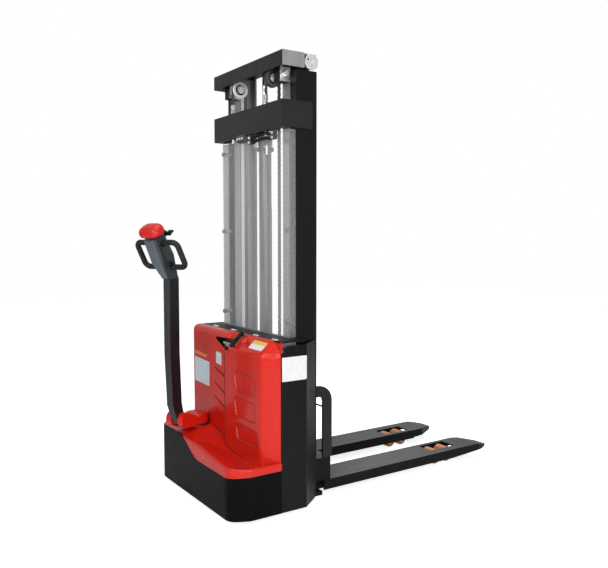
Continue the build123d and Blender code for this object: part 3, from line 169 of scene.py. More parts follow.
def noise(add, where, scale, detail, rough=0.5):
    """Strength of a noise pattern."""
    inputs = {"Vector": where, "Scale": scale, "Detail": detail, "Roughness": rough}
    return add("ShaderNodeTexNoise", inputs).outputs["Fac"]


def remap(add, value, low, high, to_low=0.0, to_high=1.0):
    """value's stretch from low to high, moved to another stretch."""
    inputs = {"Value": value, "From Min": low, "From Max": high, "To Min": to_low, "To Max": to_high}
    return add("ShaderNodeMapRange", inputs).outputs[0]


def laid_over(add, mask, under, colour):
    """A colour laid over another where the mask is 1."""
    inputs = {"Factor": mask, 6: under, 7: (*colour, 1)}
    return add("ShaderNodeMix", inputs, data_type="RGBA").outputs[2]


def bumped(add, height, strength, distance, below=None):
    """Normal of a surface raised by a pattern, on top of another such normal if there is one."""
    inputs = {"Height": height, "Strength": strength, "Distance": distance}
    if below is not None:
        inputs["Normal"] = below
    return add("ShaderNodeBump", inputs).outputs[0]


def dial(shader, values):
    """Sets shader sockets that are the same all over the surface."""
    for socket, value in values.items():
        shader.inputs[socket].default_value = value


FLECK_EDGE = 0.06  # how softly a fleck fades into the ground
PATCH_RATIO = 3.7  # patches of gloss are this much finer than the clouds of colour
WAVE_SCALE = 26.0  # waviness of a moulded or rolled surface, per metre
HAZE_SPREAD = 0.06
HEADER_EDGE = 0.0006  # metres over which a label's header band begins


def finish(name, colour, rough, metallic=0.0, coat=0.0, coat_rough=0.1, spread=0.12, cloud=6.0,
           grain=900.0, grain_depth=0.00004, wave=0.0, stretch=(1, 1, 1), rough_spread=0.08,
           specular=0.5, flecks=None):
    """A painted, moulded or metal surface: cloudy colour, uneven gloss, and grain or orange peel as bump."""
    mat, tree, shader, where, add = graph(name)
    mapped = add("ShaderNodeMapping", {"Vector": where, "Scale": stretch}).outputs[0]
    stops = [(0.30, shade(colour, 1 - spread)), (0.5, colour), (0.72, shade(colour, 1 + spread))]
    tone = ramp(add, noise(add, mapped, cloud, 5.0, 0.6), stops)
    if flecks:
        fineness, start, fleck_colour = flecks
        spots = noise(add, mapped, fineness, 3.0, 0.7)
        tone = laid_over(add, remap(add, spots, start, start + FLECK_EDGE), tone, fleck_colour)
    tree.links.new(tone, shader.inputs["Base Color"])
    patches = noise(add, mapped, cloud * PATCH_RATIO, 6.0, 0.65)
    gloss = remap(add, patches, 0.25, 0.75, max(0.02, rough - rough_spread), rough + rough_spread)
    tree.links.new(gloss, shader.inputs["Roughness"])
    normal = bumped(add, noise(add, mapped, grain, 2.0), 0.5, grain_depth)
    if wave:
        normal = bumped(add, noise(add, mapped, WAVE_SCALE, 1.0), 0.5, wave, normal)
    tree.links.new(normal, shader.inputs["Normal"])
    dial(shader, {
        "Metallic": metallic, "Coat Weight": coat, "Coat Roughness": coat_rough,
        "Specular IOR Level": specular,
    })
    return mat


def guard_sheet(name, haze_level, tints, glow):
    """Clear sheet with a milky haze, faint vertical streaks and dust, lit by a painted white glow so that
    what lies behind looks a lighter grey.
    """
    mat, tree, shader, where, add = graph(name)
    mapped = add("ShaderNodeMapping", {"Vector": where, "Scale": (1, 1, 0.05)}).outputs[0]
    streaks = noise(add, mapped, 22.0, 4.0)
    dust = noise(add, where, 240.0, 3.0)
    haze = remap(add, streaks, 0.3, 0.7, haze_level, haze_level + HAZE_SPREAD)
    tint = ramp(add, dust, [(0.3, (tints[0],) * 3), (0.7, (tints[1],) * 3)])
    tree.links.new(tint, shader.inputs["Base Color"])
    tree.links.new(haze, shader.inputs["Alpha"])
    # painted glow: the sheet's white emission stands in for light scattered in its haze
    dial(shader, {
        "Roughness": 0.22, "Specular IOR Level": 0.3, "Emission Color": (1, 1, 1, 1),
        "Emission Strength": glow,
    })
    tree.links.new(bumped(add, streaks, 0.3, 0.0003), shader.inputs["Normal"])
    return mat


def blank_label(name, ground, header=None, header_x=0.0):
    """Printed film with nothing on it: pale ground, faint mottling and, if asked, a coloured header band."""
    mat, tree, shader, where, add = graph(name)
    mottle = noise(add, where, 45.0, 4.0)
    tone = ramp(add, mottle, [(0.3, shade(ground, 0.93)), (0.7, ground)])
    if header:
        across = add("ShaderNodeSeparateXYZ", {"Vector": where}).outputs["X"]
        tone = laid_over(add, remap(add, across, header_x, header_x + HEADER_EDGE), tone, header)
    tree.links.new(tone, shader.inputs["Base Color"])
    tree.links.new(remap(add, mottle, 0.0, 1.0, 0.28, 0.45), shader.inputs["Roughness"])
    return mat


FINISHES = {}


def make_finishes(paint):
    """Every finish of the stacker, by name."""
    red, black, mast = tuple(paint.red), tuple(paint.black), tuple(paint.mast)
    FINISHES.update(
        red=finish("red_moulding", red, 0.30, coat=0.30, coat_rough=0.07, specular=0.2, spread=0.06,
            cloud=1.6, grain=420, grain_depth=0.00002, wave=0.0004),
        black=finish("black_powder_coat", black, 0.38, specular=0.14, spread=0.25, cloud=5.0, grain=1500,
            grain_depth=0.00010, wave=0.0005),
        skirt=finish("black_skirt_gloss", black, 0.34, coat=0.03, coat_rough=0.12, specular=0.04,
            spread=0.25, cloud=4.0, grain=1400, grain_depth=0.00008, wave=0.0010),
        mast=finish("mast_black", mast, 0.32, specular=0.16, spread=0.22, cloud=5.0, grain=1300,
            grain_depth=0.00008, wave=0.0006, stretch=(1, 1, 0.25)),
        # beams: the mast black made 2.6 times lighter, painted light where the beams look lighter
        beam=finish("beam_black_painted_light", shade(mast, 2.6), 0.42, specular=0.22, spread=0.2, cloud=5.0, grain=1500,
            grain_depth=0.0001),
        # inner channels' front and inner faces: worn roller track and a painted highlight, lighter grey than
        # the channels
        track=finish("roller_track", (0.30, 0.30, 0.303), 0.34, metallic=0.35, spread=0.25, cloud=7,
            grain=1000, grain_depth=0.00008, stretch=(1, 1, 0.12),
            flecks=(30, 0.62, (0.16, 0.155, 0.15))),
        # near-white: painted highlight and reflection on the left sheave and on the strips beside the inner
        # channels
        sheave=finish("sheave_painted_bright", (0.86, 0.86, 0.87), 0.34, metallic=0.25, spread=0.05, cloud=25,
            grain=2000, grain_depth=0.00003),
        # satin grey: the guard bolts' own finish, and a painted sheen on the upper beam's side faces
        beam_end=finish("satin_bolts_and_painted_beam_sheen", (0.30, 0.30, 0.305), 0.36, metallic=0.3, spread=0.2, cloud=9,
            grain=1200, grain_depth=0.00008, stretch=(1, 1, 0.3)),
        # fork tops greyer than the black sides: a painted sheen, with flecks of wear
        fork=finish("fork_top_painted_sheen", (0.013, 0.0135, 0.014), 0.38, specular=0.18, spread=0.25, cloud=5.0,
            grain=1200, grain_depth=0.00008, stretch=(0.3, 1, 1),
            flecks=(60, 0.66, (0.11, 0.11, 0.11))),
        zinc=finish("zinc_plate", (0.70, 0.71, 0.72), 0.30, metallic=0.8, spread=0.12, cloud=30, grain=900,
            grain_depth=0.00006, rough_spread=0.12),
        machined=finish("machined_steel", (0.82, 0.82, 0.83), 0.30, metallic=0.75, spread=0.08, cloud=25,
            grain=2500, grain_depth=0.00004),
        chain=finish("oiled_chain", (0.12, 0.12, 0.123), 0.32, metallic=0.6, spread=0.35, cloud=60,
            grain=900, grain_depth=0.00006, rough_spread=0.15),
        chrome=finish("hard_chrome", (0.80, 0.81, 0.82), 0.10, metallic=1, spread=0.03, cloud=20,
            grain=3000, grain_depth=0.00001, rough_spread=0.04),
        cylinder=finish("cylinder_paint", (0.06, 0.062, 0.065), 0.22, coat=0.5, spread=0.15, cloud=8,
            grain=900, grain_depth=0.00005, stretch=(1, 1, 0.2)),
        casting=finish("cast_housing", (0.05, 0.051, 0.053), 0.55, spread=0.2, cloud=20, grain=500,
            grain_depth=0.0003),
        plastic=finish("black_grained_plastic", (0.007, 0.0073, 0.0076), 0.44, specular=0.12, spread=0.2,
            cloud=20, grain=1800, grain_depth=0.00012),
        rubber=finish("black_rubber", (0.010, 0.010, 0.010), 0.62, spread=0.25, cloud=30, grain=1200,
            grain_depth=0.00016, specular=0.35),
        head=finish("head_shell", tuple(paint.head), 0.42, spread=0.12, cloud=18, grain=1600,
            grain_depth=0.00010),
        head_dark=finish("head_inlay", (0.020, 0.028, 0.030), 0.40, spread=0.2, cloud=18, grain=1600,
            grain_depth=0.0001),
        arm_grey=finish("arm_grey", (0.034, 0.035, 0.036), 0.42, specular=0.3, spread=0.2, cloud=8,
            grain=1400, grain_depth=0.0001, stretch=(1, 1, 0.3)),
        arm=finish("arm_black", (0.010, 0.010, 0.011), 0.36, specular=0.2, spread=0.2, cloud=8, grain=1400,
            grain_depth=0.0001, stretch=(1, 1, 0.3)),
        button=finish("button_red", (0.58, 0.014, 0.010), 0.34, coat=0.15, specular=0.25, spread=0.08,
            cloud=14, grain=800, grain_depth=0.00006),
        orange=finish("roller_polyurethane", tuple(paint.wheel), 0.42, spread=0.25, cloud=24, grain=700,
            grain_depth=0.00015, specular=0.4,
            flecks=(90, 0.64, shade(tuple(paint.wheel), 0.45))),
        pocket=finish("pocket_black", (0.006, 0.007, 0.008), 0.35, spread=0.2, cloud=14, grain=1400,
            grain_depth=0.0001),
        display=finish("display_window", (0.50, 0.56, 0.56), 0.12, spread=0.25, cloud=40, grain=2000,
            grain_depth=0.00001, coat=0.8),
        grease=finish("greased_bearing", (0.10, 0.085, 0.06), 0.3, metallic=0.6, spread=0.4, cloud=60,
            grain=600, grain_depth=0.0003),
        # dark red for lines of painted shade in the hood's creases and round its sunk panels
        cover_dark=finish("painted_recess_shade", (0.10, 0.004, 0.006), 0.4, spread=0.2, cloud=10, grain=700,
            grain_depth=0.00005),
        battery=finish("battery_case", (0.03, 0.032, 0.036), 0.5, spread=0.2, cloud=14, grain=900,
            grain_depth=0.0002),
        # the guard glows at 0.42: painted light on the sheet
        guard=guard_sheet("guard_sheet", 0.07, (0.70, 0.80), 0.42),
        guard_fold=guard_sheet("guard_fold", 0.55, (0.22, 0.30), 0.0),
        label_blue=blank_label("label_pale_blue", (0.66, 0.80, 0.88)),
        label_white=blank_label("label_white", (0.76, 0.77, 0.77)),
        label_small=blank_label("label_grey", (0.66, 0.74, 0.76)),
        label_amber=blank_label("label_amber", (0.75, 0.22, 0.04)),
        label_header=blank_label("label_with_header", (0.86, 0.86, 0.90), (0.80, 0.55, 0.05),
            (DATUM - 364) / 1000),
    )


# ---------------------------------------------------------------- shaping helpers, all in yard millimetres
def block(bm, low, high):
    """A box between two corners."""
    low, high = Vector(low), Vector(high)
    made = bmesh.ops.create_cube(bm, size=1)["verts"]
    size, middle = high - low, (low + high) / 2
    bmesh.ops.scale(bm, vec=size, verts=made)
    bmesh.ops.translate(bm, vec=middle, verts=made)


def turned(axis):
    """Rotation that takes +Z to axis."""
    return Vector((0, 0, 1)).rotation_difference(Vector(axis)).to_matrix().to_4x4()


def rod(bm, start, end, r, r_end=None, steps=32):
    """A closed cylinder or cone from start to end."""
    start, end = Vector(start), Vector(end)
    place = Matrix.Translation((start + end) / 2) @ turned((end - start).normalized())
    bmesh.ops.create_cone(
        bm, cap_ends=True, segments=steps, radius1=r, radius2=r if r_end is None else r_end,
        depth=(end - start).length, matrix=place,
    )


def lathe(bm, profile, centre, axis, steps=48):
    """Spins a closed profile of (radius, along) points about an axis."""
    ring = [bm.verts.new((r, 0, along)) for r, along in profile]
    edges = [bm.edges.new((ring[i], ring[(i + 1) % len(ring)])) for i in range(len(ring))]
    bmesh.ops.spin(
        bm, geom=ring + edges, cent=(0, 0, 0), axis=(0, 0, 1), dvec=(0, 0, 0), angle=2 * pi,
        steps=steps, use_merge=True,
    )
    verts, queue = set(ring), list(ring)
    while queue:
        for edge in queue.pop().link_edges:
            for vert in edge.verts:
                if vert not in verts:
                    verts.add(vert)
                    queue.append(vert)
    place = Matrix.Translation(Vector(centre)) @ turned(Vector(axis).normalized())
    bmesh.ops.transform(bm, matrix=place, verts=list(verts))
    faces = {face for vert in verts for face in vert.link_faces}
    bmesh.ops.recalc_face_normals(bm, faces=list(faces))


def prism(bm, outline, push):
    """A flat outline of points, extruded by push; returns its vertices."""
    face = bm.faces.new([bm.verts.new(point) for point in outline])
    grown = bmesh.ops.extrude_face_region(bm, geom=[face])
    verts = [item for item in grown["geom"] if isinstance(item, bmesh.types.BMVert)]
    bmesh.ops.translate(bm, vec=Vector(push), verts=verts)
    everything = list(face.verts) + verts
    faces = {f for v in everything for f in v.link_faces}
    bmesh.ops.recalc_face_normals(bm, faces=list(faces))
    return everything


def soften(bm, width, segments=3):
    """Rounds every sharp edge."""
    edges = [e for e in bm.edges if len(e.link_faces) == 2 and e.calc_face_angle(0) > SHARP]
    if edges:
        bmesh.ops.bevel(
            bm, geom=edges, offset=width, offset_type="OFFSET", segments=segments, profile=0.5,
            affect="EDGES", clamp_overlap=True, material=-1,
        )


def loose_piece(name, bm, look, smooth=35, to_frame=True):
    """Turns a bmesh into a finished piece that rides on no body yet."""
    if to_frame:
        bmesh.ops.transform(bm, matrix=TO_FRAME, verts=bm.verts[:])
    mesh = bpy.data.meshes.new(name)
    bm.to_mesh(mesh)
    bm.free()
    obj = bpy.data.objects.new(name, mesh)
    bpy.context.scene.collection.objects.link(obj)
    mesh.materials.append(FINISHES[look])
    mesh.shade_smooth()
    mesh.set_sharp_from_angle(angle=radians(smooth))
    return obj


def piece(name, bm, look, body, stands_for=(), smooth=35, edge=None, edge_steps=2, to_frame=True):
    """Turns a bmesh into a finished piece that rides on a body."""
    obj = loose_piece(name, bm, look, smooth, to_frame)
    if edge:
        rounding = obj.modifiers.new("edges", "BEVEL")
        rounding.width = edge
        rounding.segments = edge_steps
        rounding.limit_method = "ANGLE"
        rounding.angle_limit = SHARP
        rounding.harden_normals = True
    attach(obj, body)
    if stands_for:
        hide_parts(*stands_for)
    return obj


def carve(obj, cutter_bm):
    """Cuts a shape away from a piece and keeps the result as the piece's mesh."""
    bmesh.ops.transform(cutter_bm, matrix=TO_FRAME, verts=cutter_bm.verts[:])
    mesh = bpy.data.meshes.new("cutter")
    cutter_bm.to_mesh(mesh)
    cutter_bm.free()
    tool = bpy.data.objects.new("cutter", mesh)
    bpy.context.scene.collection.objects.link(tool)
    others = list(obj.modifiers)
    cut = obj.modifiers.new("cut", "BOOLEAN")
    cut.operation = "DIFFERENCE"
    cut.solver = "FAST"
    cut.object = tool
    for other in others:
        other.show_viewport = False
    bpy.context.view_layer.update()
    evaluated = obj.evaluated_get(bpy.context.evaluated_depsgraph_get())
    result = bpy.data.meshes.new_from_object(evaluated)
    for other in others:
        other.show_viewport = True
    obj.modifiers.remove(cut)
    old = obj.data
    obj.data = result
    result.name = obj.name
    bpy.data.objects.remove(tool)
    bpy.data.meshes.remove(mesh)
    bpy.data.meshes.remove(old)
    result.shade_smooth()
    result.set_sharp_from_angle(angle=radians(35))


def welded_copy(node):
    """A bmesh of the frame's own shape with its vertices merged."""
    bm = bmesh.new()
    bm.from_mesh(frame["nodes"][node].data)
    bmesh.ops.remove_doubles(bm, verts=bm.verts[:], dist=WELD)
    return bm


def dissolve_flats(bm):
    """Joins the faces of a copied node that lie in one plane."""
    bmesh.ops.dissolve_limit(bm, angle_limit=radians(1), verts=bm.verts[:], edges=bm.edges[:])


def rounded_copy(node, look, edge=0.0016, steps=2):
    """The frame's own shape with welded vertices and rounded edges, standing for that node."""
    bm = welded_copy(node)
    dissolve_flats(bm)
    return piece(
        node + "_shell", bm, look, BODY_OF[node], stands_for=(node,), edge=edge, edge_steps=steps,
        to_frame=False,
    )


def dress(node, look):
    """Gives a carried-over node its material."""
    data = frame["nodes"][node].data
    data.materials.clear()
    data.materials.append(FINISHES[look])


# ---------------------------------------------------------------- operators
NODE_LOOKS = {
    "steering_bearing": "machined", "drive_motor": "casting", "drive_gearbox": "casting",
    "batteries": "battery", "pump_unit": "casting", "controller": "machined",
    "guard_bolts": "beam_end", "floor_plate": "black", "piston_rod": "chrome", "caster_fork": "zinc",
    "mast_guard": "guard", "drive_wheel": "rubber", "caster_wheel": "rubber",
}


class STACKER_OT_finishes(bpy.types.Operator):
    """Make the finishes and give the carried-over nodes theirs"""

    bl_idname = "stacker.finishes"
    bl_label = "Finishes"
    bl_options = {"REGISTER", "UNDO"}

    def execute(self, context):
        make_finishes(context.scene.stacker_paint)
        for node in frame["nodes"]:
            dress(node, NODE_LOOKS.get(node, "black"))
        return {"FINISHED"}


CAMERA_SPOT = (-1932.7, -2968.5, 1256.2)
CAMERA_YAW, CAMERA_PITCH = radians(33.9), radians(-3.8)
CAMERA_LENS = 41.07
LAMPS = (  # name, place, aim, width, watts
    ("key_left", (-3600, -1500, 2600), (-500, 0, 700), 1600, 52),
    ("strip", (-3300, -3100, 1500), (-300, 0, 800), 420, 20),
    ("edge", (-300, -3300, 900), (-450, -400, 600), 300, 34),
    ("fill_front", (-1500, -3900, 1500), (-300, 0, 900), 1500, 34),
    ("top", (-300, -500, 4300), (-200, 0, 600), 2200, 60),
    ("rear_rim", (2300, 1800, 2400), (-200, 0, 900), 1300, 30),
)
LEAST_LAMP_HEIGHT = 1.9  # metres
WORLD_ON_OBJECT, WORLD_IN_GLOSS = 0.16, 0.62
FLOOR_HALF = 12  # metres
FLOOR_GLOW = 0.80


class STACKER_OT_stage(bpy.types.Operator):
    """Build the camera, lamps, floor and world"""

    bl_idname = "stacker.stage"
    bl_label = "Stage"
    bl_options = {"REGISTER", "UNDO"}

    def execute(self, context):
        scene = context.scene
        scene.view_settings.view_transform = "Standard"
        self.camera(scene)
        self.world(scene)
        for lamp in LAMPS:
            self.lamp(scene, *lamp)
        self.floor(scene)
        return {"FINISHED"}

    def camera(self, scene):
        """Camera from the operator's right, a little above the middle of the mast."""
        lens = bpy.data.cameras.new("camera")
        lens.sensor_width = 36.0
        lens.lens = CAMERA_LENS
        lens.clip_end = 100
        camera = bpy.data.objects.new("camera", lens)
        scene.collection.objects.link(camera)
        camera.location = TO_FRAME @ Vector(CAMERA_SPOT)
        level = cos(CAMERA_PITCH)
        look = Vector((sin(CAMERA_YAW) * level, cos(CAMERA_YAW) * level, sin(CAMERA_PITCH)))
        camera.rotation_euler = look.to_track_quat("-Z", "Y").to_euler()
        scene.camera = camera

    def world(self, scene):
        """White to the camera and through clear sheet, dimmer in gloss and as light."""
        world = bpy.data.worlds.new("studio")
        scene.world = world
        world.use_nodes = True
        tree = world.node_tree
        ground = tree.nodes["Background"]
        ground.inputs["Color"].default_value = (1, 1, 1, 1)
        path = tree.nodes.new("ShaderNodeLightPath")
        seen = tree.nodes.new("ShaderNodeMapRange")
        seen.inputs["To Max"].default_value = 1.0
        shiny = tree.nodes.new("ShaderNodeMapRange")
        shiny.inputs["To Min"].default_value = WORLD_ON_OBJECT
        shiny.inputs["To Max"].default_value = WORLD_IN_GLOSS
        tree.links.new(path.outputs["Is Glossy Ray"], shiny.inputs["Value"])
        tree.links.new(shiny.outputs[0], seen.inputs["To Min"])
        both = tree.nodes.new("ShaderNodeMath")
        both.operation = "MAXIMUM"
        tree.links.new(path.outputs["Is Camera Ray"], both.inputs[0])
        tree.links.new(path.outputs["Is Transmission Ray"], both.inputs[1])
        tree.links.new(both.outputs[0], seen.inputs["Value"])
        tree.links.new(seen.outputs[0], ground.inputs["Strength"])

    def lamp(self, scene, name, spot, aim, width, power):
        """One soft rectangular lamp."""
        lamp = bpy.data.lights.new(name, "AREA")
        lamp.shape = "RECTANGLE"
        lamp.size = width / 1000
        lamp.size_y = max(width / 700, LEAST_LAMP_HEIGHT)
        lamp.energy = power
        holder = bpy.data.objects.new(name, lamp)
        scene.collection.objects.link(holder)
        holder.location = TO_FRAME @ Vector(spot)
        towards = TO_FRAME @ Vector(aim) - holder.location
        holder.rotation_euler = towards.to_track_quat("-Z", "Y").to_euler()

    def floor(self, scene):
        """Pale floor that the camera sees as nearly white."""
        bm = bmesh.new()
        bmesh.ops.create_grid(bm, x_segments=1, y_segments=1, size=FLOOR_HALF)
        mesh = bpy.data.meshes.new("floor")
        bm.to_mesh(mesh)
        bm.free()
        floor = bpy.data.objects.new("floor", mesh)
        scene.collection.objects.link(floor)
        mat, tree, shader, where, add = graph("studio_floor")
        path = add("ShaderNodeLightPath")
        tone = ramp(add, noise(add, where, 2.0, 2.0), [(0.3, (0.93,) * 3), (0.7, (0.96,) * 3)])
        tree.links.new(tone, shader.inputs["Base Color"])
        glow = add("ShaderNodeMath", {0: path.outputs["Is Camera Ray"], 1: FLOOR_GLOW}, operation="MULTIPLY")
        tree.links.new(glow.outputs[0], shader.inputs["Emission Strength"])
        dial(shader, {"Roughness": 0.6, "Specular IOR Level": 0.2, "Emission Color": (1, 1, 1, 1)})
        mesh.materials.append(mat)


PLATES = (  # node, finish, rounding against a plate edge of 1.6
    ("outer_mast_left", "mast", 3.0), ("outer_mast_right", "mast", 3.0), ("outer_mast_beam", "beam", 2.8),
    ("inner_mast_beam", "beam", 1.6), ("inner_mast_channels", "mast", 2.4), ("inner_mast_tie", "mast", 1.5),
    ("mast_foot", "black", 1.5), ("side_plates", "mast", 2.0), ("deck_plate", "plastic", 1.6),
    ("carriage_frame", "black", 1.6), ("load_backrest", "beam", 1.6), ("fork_left", "fork", 1.8),
    ("fork_right", "fork", 1.8), ("legs", "black", 1.4), ("cylinder_barrel", "cylinder", 1.0),
    ("emergency_stop", "button", 0.5), ("disconnect_handle", "plastic", 2.0),
)
PLAIN_EDGE = 1.6


class STACKER_OT_plates(bpy.types.Operator):
    """Round the edges of the frame's welded plates and sections"""

    bl_idname = "stacker.plates"
    bl_label = "Plates and sections"
    bl_options = {"REGISTER", "UNDO"}

    def execute(self, context):
        edge = context.scene.stacker_sizes.edge
        limit = SIDE_FACE / 1000
        for node, look, width in PLATES:
            shell = rounded_copy(node, look, edge * width / PLAIN_EDGE)
            if node == "side_plates":
                for vert in shell.data.vertices:
                    vert.co.y = max(-limit, min(limit, vert.co.y))
            if look == "fork":
                # fork sides and undersides black under the painted sheen of the tops
                paint_faces(shell, "black", lambda c, n: n.z < 0.4)
            if node == "inner_mast_channels":
                # front and inner side faces painted lighter grey: painted highlight on the channels, partly
                # worn roller track
                paint_faces(shell, "track", lambda c, n: n.x < -0.8 or (abs(n.y) > 0.9 and abs(c.y) < 250))
            if node == "inner_mast_beam":
                # the upper beam's side faces at its ends: painted sheen in lighter grey
                paint_faces(shell, "beam_end", lambda c, n: abs(n.y) > 0.9 and abs(c.y) > 320)
        return {"FINISHED"}


def rounded_path(points, radii, steps=6):
    """Plan points of a polyline whose corners are rounded by arcs."""
    out = [Vector(points[0])]
    for before, corner, after, r in zip(points, points[1:], points[2:], radii):
        corner, back, on = Vector(corner), Vector(before) - Vector(corner), Vector(after) - Vector(corner)
        back.normalize()
        on.normalize()
        half = back.angle(on) / 2
        reach = r / max(0.05, abs(sin(half) / cos(half)))
        middle = corner + (back + on).normalized() * (r / sin(half))
        start, end = corner + back * reach - middle, corner + on * reach - middle
        turn = start.angle_signed(end)
        for i in range(steps + 1):
            out.append(middle + Matrix.Rotation(-turn * i / steps, 2) @ start)
    out.append(Vector(points[-1]))
    return out


def spread_points(path, gap):
    """The path again, with points no further apart than gap."""
    out = [path[0]]
    for a, b in zip(path, path[1:]):
        count = max(1, int((b - a).length / gap + 0.999))
        out += [a.lerp(b, i / count) for i in range(1, count + 1)]
    return out


def ease(t):
    """Smooth step between 0 and 1."""
    t = min(1.0, max(0.0, t))
    return t * t * (3 - 2 * t)


STEEP = 30  # a rise of more than this between two heights is eased


def curve_through(points, value):
    """Interpolation through (position, height) pairs: straight, or smooth where it is steep."""
    if value <= points[0][0]:
        return points[0][1]
    for (p0, v0), (p1, v1) in zip(points, points[1:]):
        if value <= p1:
            share = (value - p0) / (p1 - p0)
            rise = v1 - v0
            return v0 + rise * ease(share) if abs(rise) > STEEP else v0 + rise * (value - p0) / (p1 - p0)
    return points[-1][1]


def sheet_grid(bm, rows):
    """Faces between rows of points."""
    grid = [[bm.verts.new(p) for p in row] for row in rows]
    for upper, lower in zip(grid, grid[1:]):
        for i in range(len(upper) - 1):
            quad = []
            for v in (upper[i], upper[i + 1], lower[i + 1], lower[i]):
                if v not in quad:
                    quad.append(v)
            bm.faces.new(quad)


def tube(bm, spots, r, steps=14):
    """A closed round pipe through points that share one upright plane across the mast."""
    level, rows = Vector((1, 0, 0)), []
    for before, spot, after in zip(spots[:1] + spots, spots, spots[1:] + spots[-1:]):
        out = (after - before).normalized().cross(level)
        turns = [2 * pi * i / steps for i in range(steps)]
        ring = [spot + (level * cos(t) + out * sin(t)) * r for t in turns]
        rows.append(ring + ring[:1])
    sheet_grid(bm, rows)
    bmesh.ops.remove_doubles(bm, verts=bm.verts[:], dist=CLOSE)
    bmesh.ops.holes_fill(bm, edges=[e for e in bm.edges if e.is_boundary], sides=0)
    bmesh.ops.recalc_face_normals(bm, faces=bm.faces[:])


def thicken(bm, wall, heart):
    """Gives an open shell round a heart point a wall on its inside."""
    bmesh.ops.remove_doubles(bm, verts=bm.verts[:], dist=CLOSE)
    bmesh.ops.recalc_face_normals(bm, faces=bm.faces[:])
    heart = Vector(heart)
    outward = sum(face.normal.dot(face.calc_center_median() - heart) * face.calc_area() for face in bm.faces)
    if outward < 0:
        bmesh.ops.reverse_faces(bm, faces=bm.faces[:])
    bmesh.ops.solidify(bm, geom=bm.faces[:], thickness=wall)
    bmesh.ops.recalc_face_normals(bm, faces=bm.faces[:])


HOOD_BACK = -331.0  # the chassis shells end here, against the mast
HOOD_RIGHT, HOOD_LEFT = -402.0, -380.0  # the hood's front face stands forward on its right half
FACE_STEP = HOOD_LEFT - HOOD_RIGHT
HOOD_LOW, FACET_LOW, ROLL_LOW, HOOD_TOP = 209.0, 735.0, 772.0, 800.0
ROLL_R = HOOD_TOP - ROLL_LOW
FACET_SOFT = 15.0
FACET_RUN, FACET_RISE = 68, 65
SKIRT_PLAN = ((-331, -410), (-490, -410), (-575, -370), (-575, 370), (-490, 410), (-331, 410))
SKIRT_RADII = (48, 60, 60, 48)
RIDGE = ((-410, 258), (-365, 264), (56, 297), (349, 307), (410, 309))
SKIRT_TOP = ((-410, 224), (-330, 219), (-60, 220), (150, 303), (410, 303))
HOOD_FOOT = ((-402, 236), (-200, 236), (-86, 240), (-29, 252), (81, 290), (160, 312), (401, 318))


